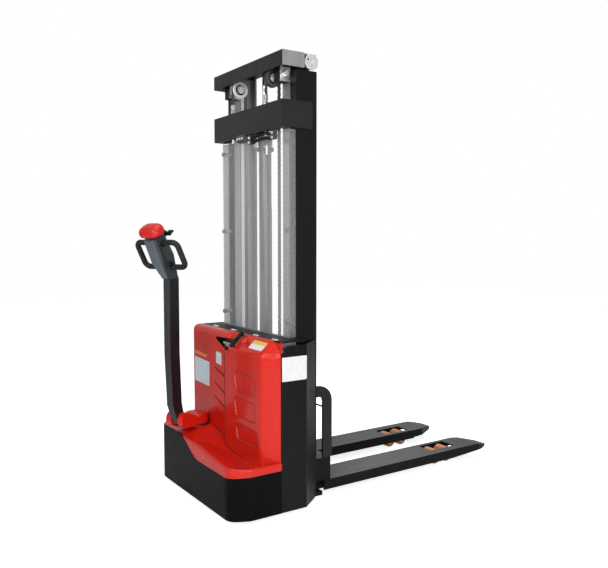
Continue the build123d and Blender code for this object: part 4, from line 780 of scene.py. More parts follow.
class STACKER_OT_skirt(bpy.types.Operator):
    """Black skirt round the drive unit and the red cover above it"""

    bl_idname = "stacker.skirt"
    bl_label = "Skirt and drive cover"
    bl_options = {"REGISTER", "UNDO"}

    def execute(self, context):
        path = spread_points(rounded_path(SKIRT_PLAN, SKIRT_RADII), 14)
        self.skirt(path)
        self.cover(path)
        return {"FINISHED"}

    def skirt(self, path):
        """Wrap-round wall over the drive unit."""
        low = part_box("chassis_skirt")[0].z * 1000
        bm = bmesh.new()
        rows = []
        for part in range(9):
            rows.append([(p.x, p.y, low + (curve_through(SKIRT_TOP, p.y) - low) * part / 8) for p in path])
        sheet_grid(bm, rows)
        thicken(bm, 8, (HOOD_BACK, 0, 150))
        piece(
            "skirt_shell", bm, "skirt", "chassis", ("chassis_skirt",), smooth=40,
            edge=0.0022, edge_steps=3,
        )

    def roof_goals(self, rim):
        """Where the roof that starts at each point of the rim meets the hood."""
        along = [0.0]
        for p, q in zip(rim, rim[1:]):
            along.append(along[-1] + (q - p).length)
        first = next(i for i, p in enumerate(rim) if p.x < HOOD_RIGHT)
        last = max(i for i, p in enumerate(rim) if p.x < HOOD_LEFT - 1)
        start, length = along[first], along[last] - along[first]
        spread = ((0, -337), (0.14, -318), (0.86, 365), (1, 400))
        goals = []
        for i, p in enumerate(rim):
            if i < first:
                t = (p.x - HOOD_BACK) / (HOOD_RIGHT - HOOD_BACK)
                goals.append(Vector((HOOD_BACK - 69 * t, -400 + 63 * t)))
            elif i > last:
                goals.append(Vector((max(p.x, HOOD_LEFT + 1), 400)))
            else:
                y = curve_through(spread, (along[i] - start) / length)
                goals.append(Vector((HOOD_RIGHT + 1.5 + FACE_STEP * ease((y - 2) / 8), y)))
        return goals

    def cover(self, path):
        """Red cover: rim, rounded ridge and the roof that falls to the hood."""
        rim = [p + (Vector((-400, 0)) - p).normalized() * 1.2 for p in path]
        goals = self.roof_goals(rim)
        shell = []
        for wall in (0.0, 4.0):
            rows = []
            for level in (0, 0.5, 1):
                rows.append([self.cover_point(p, g, level, None, wall) for p, g in zip(rim, goals)])
            for turn in (18, 36, 54, 72, 90):
                rows.append([self.cover_point(p, g, 1, radians(turn), wall) for p, g in zip(rim, goals)])
            for part in range(1, 19):
                rows.append([self.cover_point(p, g, 1, None, wall, part / 18) for p, g in zip(rim, goals)])
            shell.append(rows)
        outer, inner = shell
        loop = outer + inner[::-1] + outer[:1]
        bm = bmesh.new()
        sheet_grid(bm, loop)
        for side in (0, -1):
            for level in range(len(outer) - 1):
                out, back = outer[level:level + 2], inner[level:level + 2]
                corners = (out[0][side], out[1][side], back[1][side], back[0][side])
                bm.faces.new([bm.verts.new(c) for c in corners])
        bmesh.ops.remove_doubles(bm, verts=bm.verts[:], dist=0.02)
        bmesh.ops.recalc_face_normals(bm, faces=bm.faces[:])
        cover = piece("drive_cover_shell", bm, "red", "chassis", ("drive_cover",), smooth=50)
        hole = bmesh.new()
        rod(hole, (STEER_X, STEER_Y, 180), (STEER_X, STEER_Y, 340), 62, steps=64)
        carve(cover, hole)

    def cover_point(self, p, goal, level, turn, wall, t=None):
        """A point of the cover: on its wall, on the rounded ridge (turn) or on the roof (t)."""
        ridge = curve_through(RIDGE, p.y)
        inward = goal - p
        span = inward.length
        inward = inward / span if span > 1e-6 else Vector((0, 0))
        r = min(9.0, span * 0.3)
        if t is not None:
            t = (r + (span - r) * t) / max(span, 1e-6)
            spot = p + inward * span * min(t, 1.0)
            foot = curve_through(HOOD_FOOT, spot.y)
            sag = 6 * sin(pi * t) * ease((120 - spot.y) / 300)
            return (spot.x, spot.y, min(318.0, ridge + (foot - ridge) * ease(t) - sag * (span > 60)) - wall)
        if turn is not None:
            spot = p + inward * (wall + (r - wall * 0.5) * (1 - cos(turn)))
            return (spot.x, spot.y, ridge - r + (r - wall * 0.5) * sin(turn) - wall * 0.5 * sin(turn))
        spot = p + inward * min(wall, span * 0.2)
        low = curve_through(SKIRT_TOP, p.y) - 9
        return (spot.x, spot.y, low + (ridge - r - low) * level)


def hood_profile(y, z):
    """How far the hood's front is set back at a height: a facet on the right, a rolled edge on the left."""
    rise = z - FACET_LOW
    facet = max(0.0, rise) * FACET_RUN / FACET_RISE
    if abs(rise) < FACET_SOFT:
        facet = (rise + FACET_SOFT) ** 2 / (4 * FACET_SOFT) * FACET_RUN / FACET_RISE
    roll = 0.0
    if z >= ROLL_LOW:
        roll = ROLL_R - (max(0.0, ROLL_R ** 2 - (z - ROLL_LOW) ** 2)) ** 0.5
    share = ease((12 - y) / 20)
    return facet * share + roll * (1 - share)


def hood_front(y, z):
    """x of the hood's front surface at a point."""
    return min(HOOD_BACK, HOOD_RIGHT + FACE_STEP * ease((y + 3) / 8) + hood_profile(y, z))


def slot_prism(bm, corners, x_from, depth):
    """A prism through the hood's front with its outline given as (y, z); returns its vertices."""
    return prism(bm, [(x_from, y, z) for y, z in corners], (depth, 0, 0))


def rounded_loop(corners, r, steps=4):
    """Closed outline with rounded corners."""
    pts = [Vector(c) for c in corners]
    out = []
    for i, corner in enumerate(pts):
        back, on = (pts[i - 1] - corner), (pts[(i + 1) % len(pts)] - corner)
        reach = min(r, back.length * 0.45, on.length * 0.45)
        a, b = corner + back.normalized() * reach, corner + on.normalized() * reach
        for k in range(steps + 1):
            t = k / steps
            out.append((1 - t) ** 2 * a + 2 * t * (1 - t) * corner + t * t * b)
    return out


PANELS = (
    ((-92, 634), (-300, 630), (-303, 541), (-110, 541)),
    ((-92, 513), (-300, 508), (-304, 420), (-108, 420)),
    ((-106, 388), (-306, 386), (-312, 308), (-122, 308)),
)
SLITS = (((152, 608), (43, 580)), ((153, 533), (45, 496)), ((154, 461), (43, 424)), ((149, 404), (75, 365)))
POCKET = ((138, 757), (120, 772), (-40, 773), (-56, 762), (-44, 714), (16, 704))
PANEL_R, POCKET_R = 22, 14
POCKET_BACK = -352
LIP_R = 4.2
HOOD_PLAN = (
    (HOOD_BACK, 401.5), (HOOD_LEFT, 401.5), (HOOD_LEFT, 6), (HOOD_RIGHT, -2), (HOOD_RIGHT, -338),
    (HOOD_BACK, -401.5),
)
HOOD_RADII = (14, 5, 5, 34)
HOOD_ROWS = (
    *(HOOD_LOW + (700 - HOOD_LOW) * i / 14 for i in range(15)),
    712, 720, 724, 728, 732, 736, 740, 744, 748, 752, 758, 765, 772, 778, 784, 789, 793, 796, 798.4,
    799.4, HOOD_TOP,
)
FACET_NORMAL = (-0.691, 0, 0.723)
LABELS = (  # name, finish, corners, which way it faces
    ("label_hood_large", "label_blue",
     ((-380, 378, 634), (-380, 207, 625), (-380, 209, 499), (-380, 377, 506)), (-1, 0, 0)),
    ("label_hood_strip", "label_amber",
     ((-380, 372, 668), (-380, 236, 660), (-380, 237, 642), (-380, 372, 649)), (-1, 0, 0)),
    ("label_hood_small", "label_small",
     ((-380, 131, 692), (-380, 73, 689), (-380, 72, 628), (-380, 130, 633)), (-1, 0, 0)),
    ("label_side", "label_white",
     ((-329, -SIDE_FACE, 730), (-198, -SIDE_FACE, 730), (-198, -SIDE_FACE, 622), (-329, -SIDE_FACE, 622)),
     (0, -1, 0)),
    ("label_facet", "label_header",
     ((-383.6, -203, 752.6), (-383.6, -323, 752.6), (-349, -323, 785.6), (-349, -203, 785.6)),
     FACET_NORMAL),
)
LABEL_LIFT = 0.15  # clear of the surface below, so that the two don't flicker


class STACKER_OT_hood(bpy.types.Operator):
    """Red hood with its sloped facet, sunk panels, slits, instrument pocket and labels"""

    bl_idname = "stacker.hood"
    bl_label = "Hood"
    bl_options = {"REGISTER", "UNDO"}

    def execute(self, context):
        hood = self.shell()
        self.panels(hood)
        self.painted_shade_lines()
        self.slits(hood)
        cut = bmesh.new()
        slot_prism(cut, [tuple(p) for p in rounded_loop(POCKET, POCKET_R)], -440, 92)
        carve(hood, cut)
        self.pocket()
        self.labels(context.scene.stacker_sizes.label_proud * 1000)
        return {"FINISHED"}

    def shell(self):
        """Front, sides and top edge of the hood."""
        plan = spread_points(rounded_path(HOOD_PLAN, HOOD_RADII), 12)
        rows = []
        for z in HOOD_ROWS:
            rows.append([(min(HOOD_BACK, p.x + hood_profile(p.y, z)), p.y, z) for p in plan])
        rows.append([(HOOD_BACK, p.y, HOOD_TOP) for p in plan])
        bm = bmesh.new()
        sheet_grid(bm, rows)
        bmesh.ops.remove_doubles(bm, verts=bm.verts[:], dist=0.05)
        bmesh.ops.dissolve_degenerate(bm, edges=bm.edges[:], dist=0.05)
        thicken(bm, 8.5, (HOOD_BACK, 0, 500))
        return piece(
            "hood_shell", bm, "red", "chassis", ("hood",), smooth=42, edge=0.0018, edge_steps=3
        )

    def panels(self, hood):
        """Three sunk panels and the dark lines of painted shade round them."""
        cut = bmesh.new()
        for corners in PANELS:
            verts = slot_prism(cut, [tuple(p) for p in rounded_loop(corners, PANEL_R)], -410, 14)
            deep = [v for v in verts if v.co.x > -405]
            middle = sum((v.co for v in deep), Vector()) / len(deep)
            bmesh.ops.scale(cut, vec=(1, 0.95, 0.90), space=Matrix.Translation(-middle), verts=deep)
        carve(hood, cut)
        bm = bmesh.new()
        for corners in PANELS:
            loop = rounded_loop(corners, PANEL_R)
            for p, q in zip(loop, loop[1:] + loop[:1]):
                if (q - p).length > 0.4:
                    rod(bm, (-400.9, p.x, p.y), (-400.9, q.x, q.y), 1.9, steps=8)
        piece("panel_shade_lines", bm, "cover_dark", "chassis")

    def painted_shade_lines(self):
        """Dark lines of painted shade where the hood meets the cover and up the step in its face."""
        bm = bmesh.new()
        foot = []
        for y in range(160, -200, -6):
            x = HOOD_RIGHT - 0.6 + FACE_STEP * ease((y - 2) / 8)
            foot.append(Vector((x, y, curve_through(HOOD_FOOT, y) + 1.5)))
        for i, (p, q) in enumerate(zip(foot, foot[1:])):
            fade = min(1.0, (len(foot) - i) / 22)
            rod(bm, p, q, 0.4 + 2.0 * fade, steps=8)
        rise = [Vector((hood_front(-3.5, z) - 0.2, -3.5, z)) for z in range(262, 786, 12)]
        for p, q in zip(rise, rise[1:]):
            rod(bm, p, q, 1.5, steps=8)
        piece("hood_shade_lines", bm, "cover_dark", "chassis", smooth=60)

    def slits(self, hood):
        """Four slanted slits and the dark plates of painted shade behind them."""
        bm = bmesh.new()
        for (y0, z0), (y1, z1) in SLITS:
            corners = [(y0 + 3, z0 + 9), (y1 + 3, z1 + 9), (y1 - 5, z1 - 9), (y0 - 9, z0 - 7)]
            slot_prism(bm, corners, -373.4, 1)
        piece("slit_shade_backs", bm, "pocket", "chassis")
        cut = bmesh.new()
        for (y0, z0), (y1, z1) in SLITS:
            slot_prism(cut, [(y0, z0 + 6), (y1, z1 + 6), (y1 - 3, z1 - 6), (y0 - 7, z0 - 4)], -386, 20)
        carve(hood, cut)

    def pocket(self):
        """Black tray, display and red lip of the instrument pocket."""
        loop = [tuple(p) for p in rounded_loop(POCKET, POCKET_R)]
        mouth = [(hood_front(y, z) + 1.5, y, z) for y, z in loop]
        back = [(max(x + 6, POCKET_BACK), y * 0.9 + 4, z * 0.96 + 29.5) for x, y, z in mouth]
        middle = [((a[0] + b[0]) / 2, (a[1] + b[1]) / 2, (a[2] + b[2]) / 2) for a, b in zip(mouth, back)]
        bm = bmesh.new()
        sheet_grid(bm, [mouth + mouth[:1], middle + middle[:1], back + back[:1]])
        bmesh.ops.remove_doubles(bm, verts=bm.verts[:], dist=CLOSE)
        floor = [v for v in bm.verts if any((v.co - Vector(b)).length < 0.02 for b in back)]
        bmesh.ops.contextual_create(bm, geom=floor)
        bmesh.ops.recalc_face_normals(bm, faces=bm.faces[:])
        bmesh.ops.solidify(bm, geom=bm.faces[:], thickness=1.2)
        piece("instrument_pocket", bm, "pocket", "chassis", ("instrument_panel",))
        bm = bmesh.new()
        for (y0, z0), (y1, z1) in zip(loop, loop[1:] + loop[:1]):
            a = Vector((hood_front(y0, z0) - 1.0, y0, z0))
            b = Vector((hood_front(y1, z1) - 1.0, y1, z1))
            if (b - a).length > 0.5:
                rod(bm, a, b, LIP_R, steps=8)
                bmesh.ops.create_icosphere(bm, subdivisions=1, radius=LIP_R, matrix=Matrix.Translation(b))
        piece("pocket_lip", bm, "red", "chassis", smooth=80)
        bm = bmesh.new()
        block(bm, (-373, -32, 722), (-369, 58, 752))
        tilt = Matrix.Rotation(radians(-28), 3, "Y")
        bmesh.ops.rotate(bm, cent=(-371, 13, 737), matrix=tilt, verts=bm.verts[:])
        soften(bm, 2)
        piece("display_window", bm, "display", "chassis")

    def labels(self, proud):
        """Blank printed labels."""
        for name, look, corners, facing in LABELS:
            bm = bmesh.new()
            lift = Vector(facing)
            base = [Vector(c) + lift * LABEL_LIFT for c in corners]
            prism(bm, rounded_loop(base, 5), lift * proud)
            piece(name, bm, look, "chassis", smooth=30)


def paint_faces(obj, look, test):
    """Gives the faces whose centre and normal pass a test another finish; centre is in yard millimetres."""
    index = len(obj.data.materials)
    obj.data.materials.append(FINISHES[look])
    for face in obj.data.polygons:
        centre = Vector((face.center.x * 1000 - DATUM, face.center.y * 1000, face.center.z * 1000))
        if test(centre, face.normal):
            face.material_index = index


SHEAVE_X, SHEAVE_Z = -223.0, 1997.0
CHAIN_Y = 161.0
CHAIN_R = 36.0  # of the chain's middle line over a sheave
CHAIN_X = SHEAVE_X - CHAIN_R  # of the front runs
PLATE_HALF = 1.4
FRONT_PARTS, REAR_PARTS, PART_LINKS = 20, 22, 6
REAR_LENGTH, REAR_LINKS = 1667, 132
TURN_LINKS = 9
NEST_STEP = 0.002  # front parts lie in one another at rest, each this much slimmer than the next


def link(bm, a, b, across, phase):
    """One pitch of leaf chain between two pins: a pair of plates and a pin."""
    a, b, across = Vector(a), Vector(b), Vector(across)
    along = (b - a).normalized()
    side = along.cross(across).normalized()
    for offset in ((-6.6, 2.4) if phase else (-2.4, 6.6)):
        outline = []
        for end, sign in ((a, -1), (b, 1)):
            for lean in (-58, 0, 58):
                turn = radians(lean)
                spot = end + along * (sign * 5.2 * cos(turn))
                spot += side * (sign * 5.4 * sin(turn))
                outline.append(spot + across * (offset - PLATE_HALF))
        prism(bm, outline, across * (2 * PLATE_HALF))
    rod(bm, a - across * 8.6, a + across * 8.6, 2.3, steps=8)


def chain_run(name, top, pitch, sign, scale=1.0):
    """A few links hanging down from a point."""
    bm = bmesh.new()
    x, y = top[0], sign * CHAIN_Y
    for i in range(PART_LINKS):
        z = top[1] - i * pitch
        link(bm, (x, y, z), (x, y, z - pitch), (0, 1, 0), i % 2)
    if scale != 1.0:
        centre = Matrix.Translation((-x, -y, 0))
        bmesh.ops.scale(bm, vec=(scale, scale, 1), space=centre, verts=bm.verts[:])
    obj = loose_piece(name, bm, "chain")
    centre = TO_FRAME @ Vector((x, y, top[1] - PART_LINKS * pitch / 2))
    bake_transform(obj)
    return obj


class STACKER_OT_chains(bpy.types.Operator):
    """Leaf chains: front runs, half turns over the sheaves and rear runs"""

    bl_idname = "stacker.chains"
    bl_label = "Lift chains"
    bl_options = {"REGISTER", "UNDO"}

    def execute(self, context):
        pitch = context.scene.stacker_sizes.link_pitch * 1000
        fronts, rears = [], []
        for side, sign in SIDES:
            for i in range(FRONT_PARTS):
                below = FRONT_PARTS - 1 - i
                fronts.append(chain_run(
                    "chain_front_%s_%02d" % (side, i + 1), (CHAIN_X, SHEAVE_Z),
                    pitch, sign, 1 - NEST_STEP * below,
                ))
            step = REAR_LENGTH / REAR_LINKS
            for i in range(REAR_PARTS):
                z = SHEAVE_Z - i * PART_LINKS * step
                rears.append(chain_run(
                    "chain_rear_%s_%02d" % (side, i + 1), (SHEAVE_X + CHAIN_R, z),
                    step, sign,
                ))
            self.turn(side, sign)
        for obj in fronts:
            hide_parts("chain_front_runs")
        for obj in rears:
            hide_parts("chain_rear_runs")
        return {"FINISHED"}

    def turn(self, side, sign):
        """Half turn of chain over a sheave."""
        bm = bmesh.new()
        ends = []
        for i in range(TURN_LINKS + 1):
            t = pi * i / TURN_LINKS
            ends.append((SHEAVE_X + CHAIN_R * cos(t), sign * CHAIN_Y, SHEAVE_Z + CHAIN_R * sin(t)))
        for i, (a, b) in enumerate(zip(ends, ends[1:])):
            link(bm, a, b, (0, 1, 0), i % 2)
        piece("chain_turn_" + side, bm, "chain", "inner_mast")


class STACKER_OT_head(bpy.types.Operator):
    """Sheaves, axles, head discs and chain anchors"""

    bl_idname = "stacker.head"
    bl_label = "Mast head"
    bl_options = {"REGISTER", "UNDO"}

    def execute(self, context):
        self.fittings()
        for side, sign in SIDES:
            self.sheave(side, sign)
            self.axle_nut(side, sign)
            self.anchor(side, sign)
            # near-white strip along each inner channel: a painted highlight line
            bm = bmesh.new()
            y = sign * 200.9
            block(bm, (-192.5, y - 0.7, 262), (-172, y + 0.7, 1985))
            piece("highlight_strip_" + side, bm, "sheave", "inner_mast")
        rounded_copy("chain_anchors", "zinc", 0.0006)
        self.pipes()
        return {"FINISHED"}

    def fittings(self):
        """The frame's axles and discs, without its plain half turns of chain."""
        bm = welded_copy("mast_head_fittings")
        gone = []
        for vert in bm.verts:
            x, y, z = vert.co.x * 1000 - DATUM, abs(vert.co.y) * 1000, vert.co.z * 1000
            reach = hypot(x - SHEAVE_X, z - SHEAVE_Z)
            if abs(y - CHAIN_Y) < 8.3 and 27 < reach < 46 and z > SHEAVE_Z - 1:
                gone.append(vert)
        bmesh.ops.delete(bm, geom=gone, context="VERTS")
        dissolve_flats(bm)
        shell = piece(
            "mast_head_shell", bm, "black", "inner_mast", ("mast_head_fittings",), edge=0.0008,
            to_frame=False,
        )
        paint_faces(shell, "machined", lambda c, n: hypot(c.x + 120, c.z - 2050.5) < 37 and abs(c.y) > 180)
        paint_faces(shell, "zinc", lambda c, n: hypot(c.x - SHEAVE_X, c.z - SHEAVE_Z) < 13.5)

    def sheave(self, side, sign):
        """Rim, web and bearing races of one sheave."""
        node = "sheave_" + side
        body = BODY_OF[node]
        low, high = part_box(node)
        centre = (SHEAVE_X, (low.y + high.y) * 500, SHEAVE_Z)
        half = (high.y - low.y) * 500
        axis = (0, 1, 0)
        bm = bmesh.new()
        lathe(bm, [
            (27, -half), (38, -half), (42, -half + 1.5), (42, -half + 3), (30.5, -half + 4.6),
            (30.5, half - 4.6), (42, half - 3), (42, half - 1.5), (38, half), (27, half),
            (25.5, half - 3.5), (25.5, -half + 3.5),
        ], centre, axis, 64)
        # left sheave near-white and right sheave dark: painted light and painted shade on two like sheaves
        look = "sheave" if sign > 0 else "casting"
        piece("sheave_rim_" + side, bm, look, body, (node,))
        bm = bmesh.new()
        web = [(13.5, -half + 3), (25.6, -half + 3), (25.6, half - 3), (13.5, half - 3)]
        lathe(bm, web, centre, axis, 48)
        piece("sheave_web_" + side, bm, "pocket", body)
        bm = bmesh.new()
        for face in (-half, half - 3.4):
            race = [(13.2, face), (18.5, face), (18.5, face + 3.4), (13.2, face + 3.4)]
            lathe(bm, race, centre, axis, 40)
        piece("sheave_race_" + side, bm, "machined", body)

    def axle_nut(self, side, sign):
        """Nut, washer and stud end on one sheave axle."""
        bm = bmesh.new()
        nut = bmesh.ops.create_cone(
            bm, cap_ends=True, segments=6, radius1=11, radius2=11, depth=8
        )["verts"]
        bmesh.ops.rotate(bm, matrix=Matrix.Rotation(radians(90), 3, "X"), verts=nut)
        bmesh.ops.translate(bm, vec=(SHEAVE_X, sign * 283.5, SHEAVE_Z), verts=nut)
        soften(bm, 0.8, 2)
        for y0, y1, r, r_end, steps in ((277, 279.4, 14, None, 40), (287, 289.6, 8, 6.5, 24)):
            rod(bm, (SHEAVE_X, sign * y0, SHEAVE_Z), (SHEAVE_X, sign * y1, SHEAVE_Z), r, r_end, steps)
        piece("axle_nut_" + side, bm, "zinc", "inner_mast")

    def anchor(self, side, sign):
        """Block, nut and stud under one chain anchor."""
        bm = bmesh.new()
        y = sign * CHAIN_Y
        for z, wide, high in ((1884, 9, 10), (1895, 6.2, 12), (1907, 8.5, 12)):
            low_corner = (CHAIN_X - wide, y - wide, z - high / 2)
            block(bm, low_corner, (CHAIN_X + wide, y + wide, z + high / 2))
        soften(bm, 1.6, 2)
        rod(bm, (CHAIN_X, y, 1730), (CHAIN_X, y, 1748), 6, steps=16)
        piece("anchor_fitting_" + side, bm, "zinc", "chassis")

    def pipes(self):
        """Clamp and a pair of bent lift pipes under the lower beam."""
        bm = bmesh.new()
        block(bm, (-276, 6, 1722), (-246, 92, 1750.4))
        block(bm, (-282, 12, 1728), (-275.6, 86, 1756))
        soften(bm, 3, 3)
        block(bm, (-268, -32, 1706), (-250, -2, 1750.4))
        block(bm, (-268, -246, 1706), (-250, -216, 1750.4))
        piece("pipe_clamp", bm, "casting", "chassis")
        bm = bmesh.new()
        for y in (26, 49, 72):
            rod(bm, (-281, y, 1738), (-287, y, 1738), 7, steps=6)
        for y in (-17, -231):
            for lift in (0, 22):
                rod(bm, (-272, y, 1714 + lift), (-266, y, 1714 + lift), 8, steps=6)
        soften(bm, 0.6, 1)
        piece("clamp_bolts", bm, "zinc", "chassis")
        bm = bmesh.new()
        for drop, reach in ((0, 107), (20, 85)):
            spots = []
            for i in range(25):
                turn = pi * i / 24
                level = 1716 - drop * 0.4
                height = level + (26 - drop * 0.7) * sin(turn)
                spots.append(Vector((-259, -124 + reach * cos(turn), height)))
            tube(bm, spots, 8)
        piece("lift_pipes", bm, "black", "chassis", smooth=80)


class STACKER_OT_rollers(bpy.types.Operator):
    """Rollers, wheels and the lift cylinder's fittings"""

    bl_idname = "stacker.rollers"
    bl_label = "Rollers and cylinder"
    bl_options = {"REGISTER", "UNDO"}

    def execute(self, context):
        for node in frame["nodes"]:
            if "_roller_" in node:
                self.roller(node, node.startswith("load_roller"))
        self.wheel("drive_wheel", 105, 62, 12.4, 5)
        self.wheel("caster_wheel", 75, 40, 8.4, 0)
        self.guard_folds()
        self.cylinder()
        return {"FINISHED"}

    def roller(self, node, orange):
        """A steel roller, or a load roller with its two end caps."""
        bm = welded_copy(node)
        dissolve_flats(bm)
        look, edge = ("orange", 0.003) if orange else ("machined", 0.0015)
        piece(
            node + "_shell", bm, look, BODY_OF[node], (node,), edge=edge, edge_steps=3, to_frame=False
        )
        if orange:
            low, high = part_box(node)
            mid = (low + high) / 2
            for name, face, sign in (("inner", low.y, -1), ("outer", high.y, 1)):
                bm = bmesh.new()
                cap = [(10.4, 0), (24, 0), (24, 0.8 * sign), (22, 1.4 * sign), (10.4, 1.4 * sign)]
                centre = (mid.x * 1000 - DATUM, face * 1000 - 0.9 * sign, mid.z * 1000)
                lathe(bm, cap, centre, (0, 1, 0), 40)
                piece("%s_%s_cap" % (node, name), bm, "machined", BODY_OF[node])

    def wheel(self, node, rim, hub, bore, bolts):
        """Tyre and hub of the drive wheel or the caster's wheel."""
        data = frame["nodes"][node].data
        axis = wheel_axis(data)
        low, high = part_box(node)
        mid = (low + high) / 2
        centre = Vector((mid.x * 1000 - DATUM, mid.y * 1000, mid.z * 1000))
        width = max((v.co - mid).dot(axis) for v in data.vertices) * 1000
        bm = bmesh.new()
        lathe(bm, [
            (hub, -width + 4), (rim - 8, -width), (rim - 2, -width + 5), (rim, -width + 12),
            (rim, width - 12), (rim - 2, width - 5), (rim - 8, width), (hub, width - 4),
        ], centre, axis, 96)
        piece(node + "_tyre", bm, "rubber", BODY_OF[node], (node,))
        bm = bmesh.new()
        lathe(bm, [
            (bore, -width + 1), (bore + 10, -width + 1), (bore + 13, -width + 7), (hub - 6, -width + 9),
            (hub - 2, -width + 3), (hub + 0.4, -width + 3), (hub + 0.4, width - 3), (hub - 2, width - 3),
            (hub - 6, width - 9), (bore + 13, width - 7), (bore + 10, width - 1), (bore, width - 1),
        ], centre, axis, 72)
        for i in range(bolts):
            lean = 2 * pi * i / bolts
            turn = turned(axis) @ Vector((cos(lean) * 40, sin(lean) * 40, 0))
            for sign in (-1, 1):
                spot = centre + turn + axis * (sign * (width - 8))
                rod(bm, spot - axis * 3, spot + axis * 3, 7, steps=6)
        piece(node + "_hub", bm, "machined", BODY_OF[node])

    def guard_folds(self):
        """Folded edges of the clear guard."""
        low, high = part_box("mast_guard")
        front, bottom, top = high.x * 1000 - DATUM, low.z * 1000, high.z * 1000
        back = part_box("outer_mast_left")[0].x * 1000 - DATUM
        bm = bmesh.new()
        for sign in (-1, 1):
            block(bm, (front, sign * 320.5 - 1.5, bottom), (back - 0.3, sign * 320.5 + 1.5, top))
        soften(bm, 0.6, 2)
        piece("guard_folds", bm, "guard_fold", "chassis")

    def cylinder(self):
        """Collars and unions of the lift cylinder."""
        low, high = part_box("cylinder_barrel")
        x, top = (low.x + high.x) * 500 - DATUM, high.z * 1000
        bm = bmesh.new()
        collar = [(32.2, 0), (40, 0), (42, 3), (42, 16), (38, 20), (32.2, 20)]
        lathe(bm, collar, (x, 0, top - 70), (0, 0, 1), 48)
        lathe(bm, [(32.2, 0), (35, 0), (35, 12), (32.2, 12)], (x, 0, 520), (0, 0, 1), 48)
        piece("cylinder_collar", bm, "casting", "chassis")
        bm = bmesh.new()
        rod(bm, (x - 20, -44, top - 52), (x - 20, -28, top - 52), 9, steps=6)
        rod(bm, (x - 20, -48, top - 92), (x - 20, -48, top - 44), 6, steps=16)
        rod(bm, (x - 34, 40, top - 48), (x - 34, 40, top - 24), 7, steps=6)
        piece("cylinder_unions", bm, "zinc", "chassis")


def wheel_axis(data):
    """Axis of a wheel, from the normal shared by its two flat faces."""
    largest = max(data.polygons, key=lambda face: face.area).normal.copy()
    for face in data.polygons:
        if abs(face.normal.dot(largest)) > 0.999:
            return face.normal.normalized()
    return largest.normalized()


REST_STEER, HEAD_LEAN = radians(25), radians(30)
NECK_REACH = 180  # from the turning axis to the neck
NECK_Z = 1062
RADIAL = Vector((-cos(REST_STEER), -sin(REST_STEER), 0))
ACROSS = Vector((-sin(REST_STEER), cos(REST_STEER), 0))
HEAD_AXIS = RADIAL * sin(HEAD_LEAN) + Vector((0, 0, cos(HEAD_LEAN)))
HEAD_FACE = RADIAL * cos(HEAD_LEAN) - Vector((0, 0, sin(HEAD_LEAN)))
NECK = Vector((STEER_X, STEER_Y, NECK_Z)) + RADIAL * NECK_REACH
BUTTON_STATIONS = (
    (239.5, 92, 58, 26, -2), (241, 108, 72, 32, -2), (246, 118, 80, 38, -1), (256, 122, 84, 40, 0),
    (268, 119, 82, 40, 0), (278, 108, 74, 36, -1), (285, 88, 60, 29, -2), (289, 58, 38, 19, -3),
    (290.2, 22, 14, 7, -3),
)
STEM_LOW, STEM_HIGH, STEM_R = 224, 246, 9.6  # clear of the head's bore when pressed
CHEEK = ((70, 30), (215, 22), (219, -14), (120, -34), (74, -18))


def head_spot(across, along, out):
    """A point in the tiller head's own frame."""
    return NECK + ACROSS * across + HEAD_AXIS * along + HEAD_FACE * out


def head_solid(bm, stations, steps=8):
    """A lofted solid of rounded rectangles: (along, across, deep, corner radius, out)."""
    rows = []
    for along, across, deep, r, out in stations:
        x, y = across / 2, deep / 2
        loop = rounded_loop(((-x, -y), (x, -y), (x, y), (-x, y)), r, steps)
        rows.append([head_spot(p.x, along, out + p.y) for p in loop])
    sheet_grid(bm, [row + row[:1] for row in rows])
    bmesh.ops.remove_doubles(bm, verts=bm.verts[:], dist=CLOSE)
    bmesh.ops.holes_fill(bm, edges=[e for e in bm.edges if e.is_boundary], sides=0)
    bmesh.ops.recalc_face_normals(bm, faces=bm.faces[:])


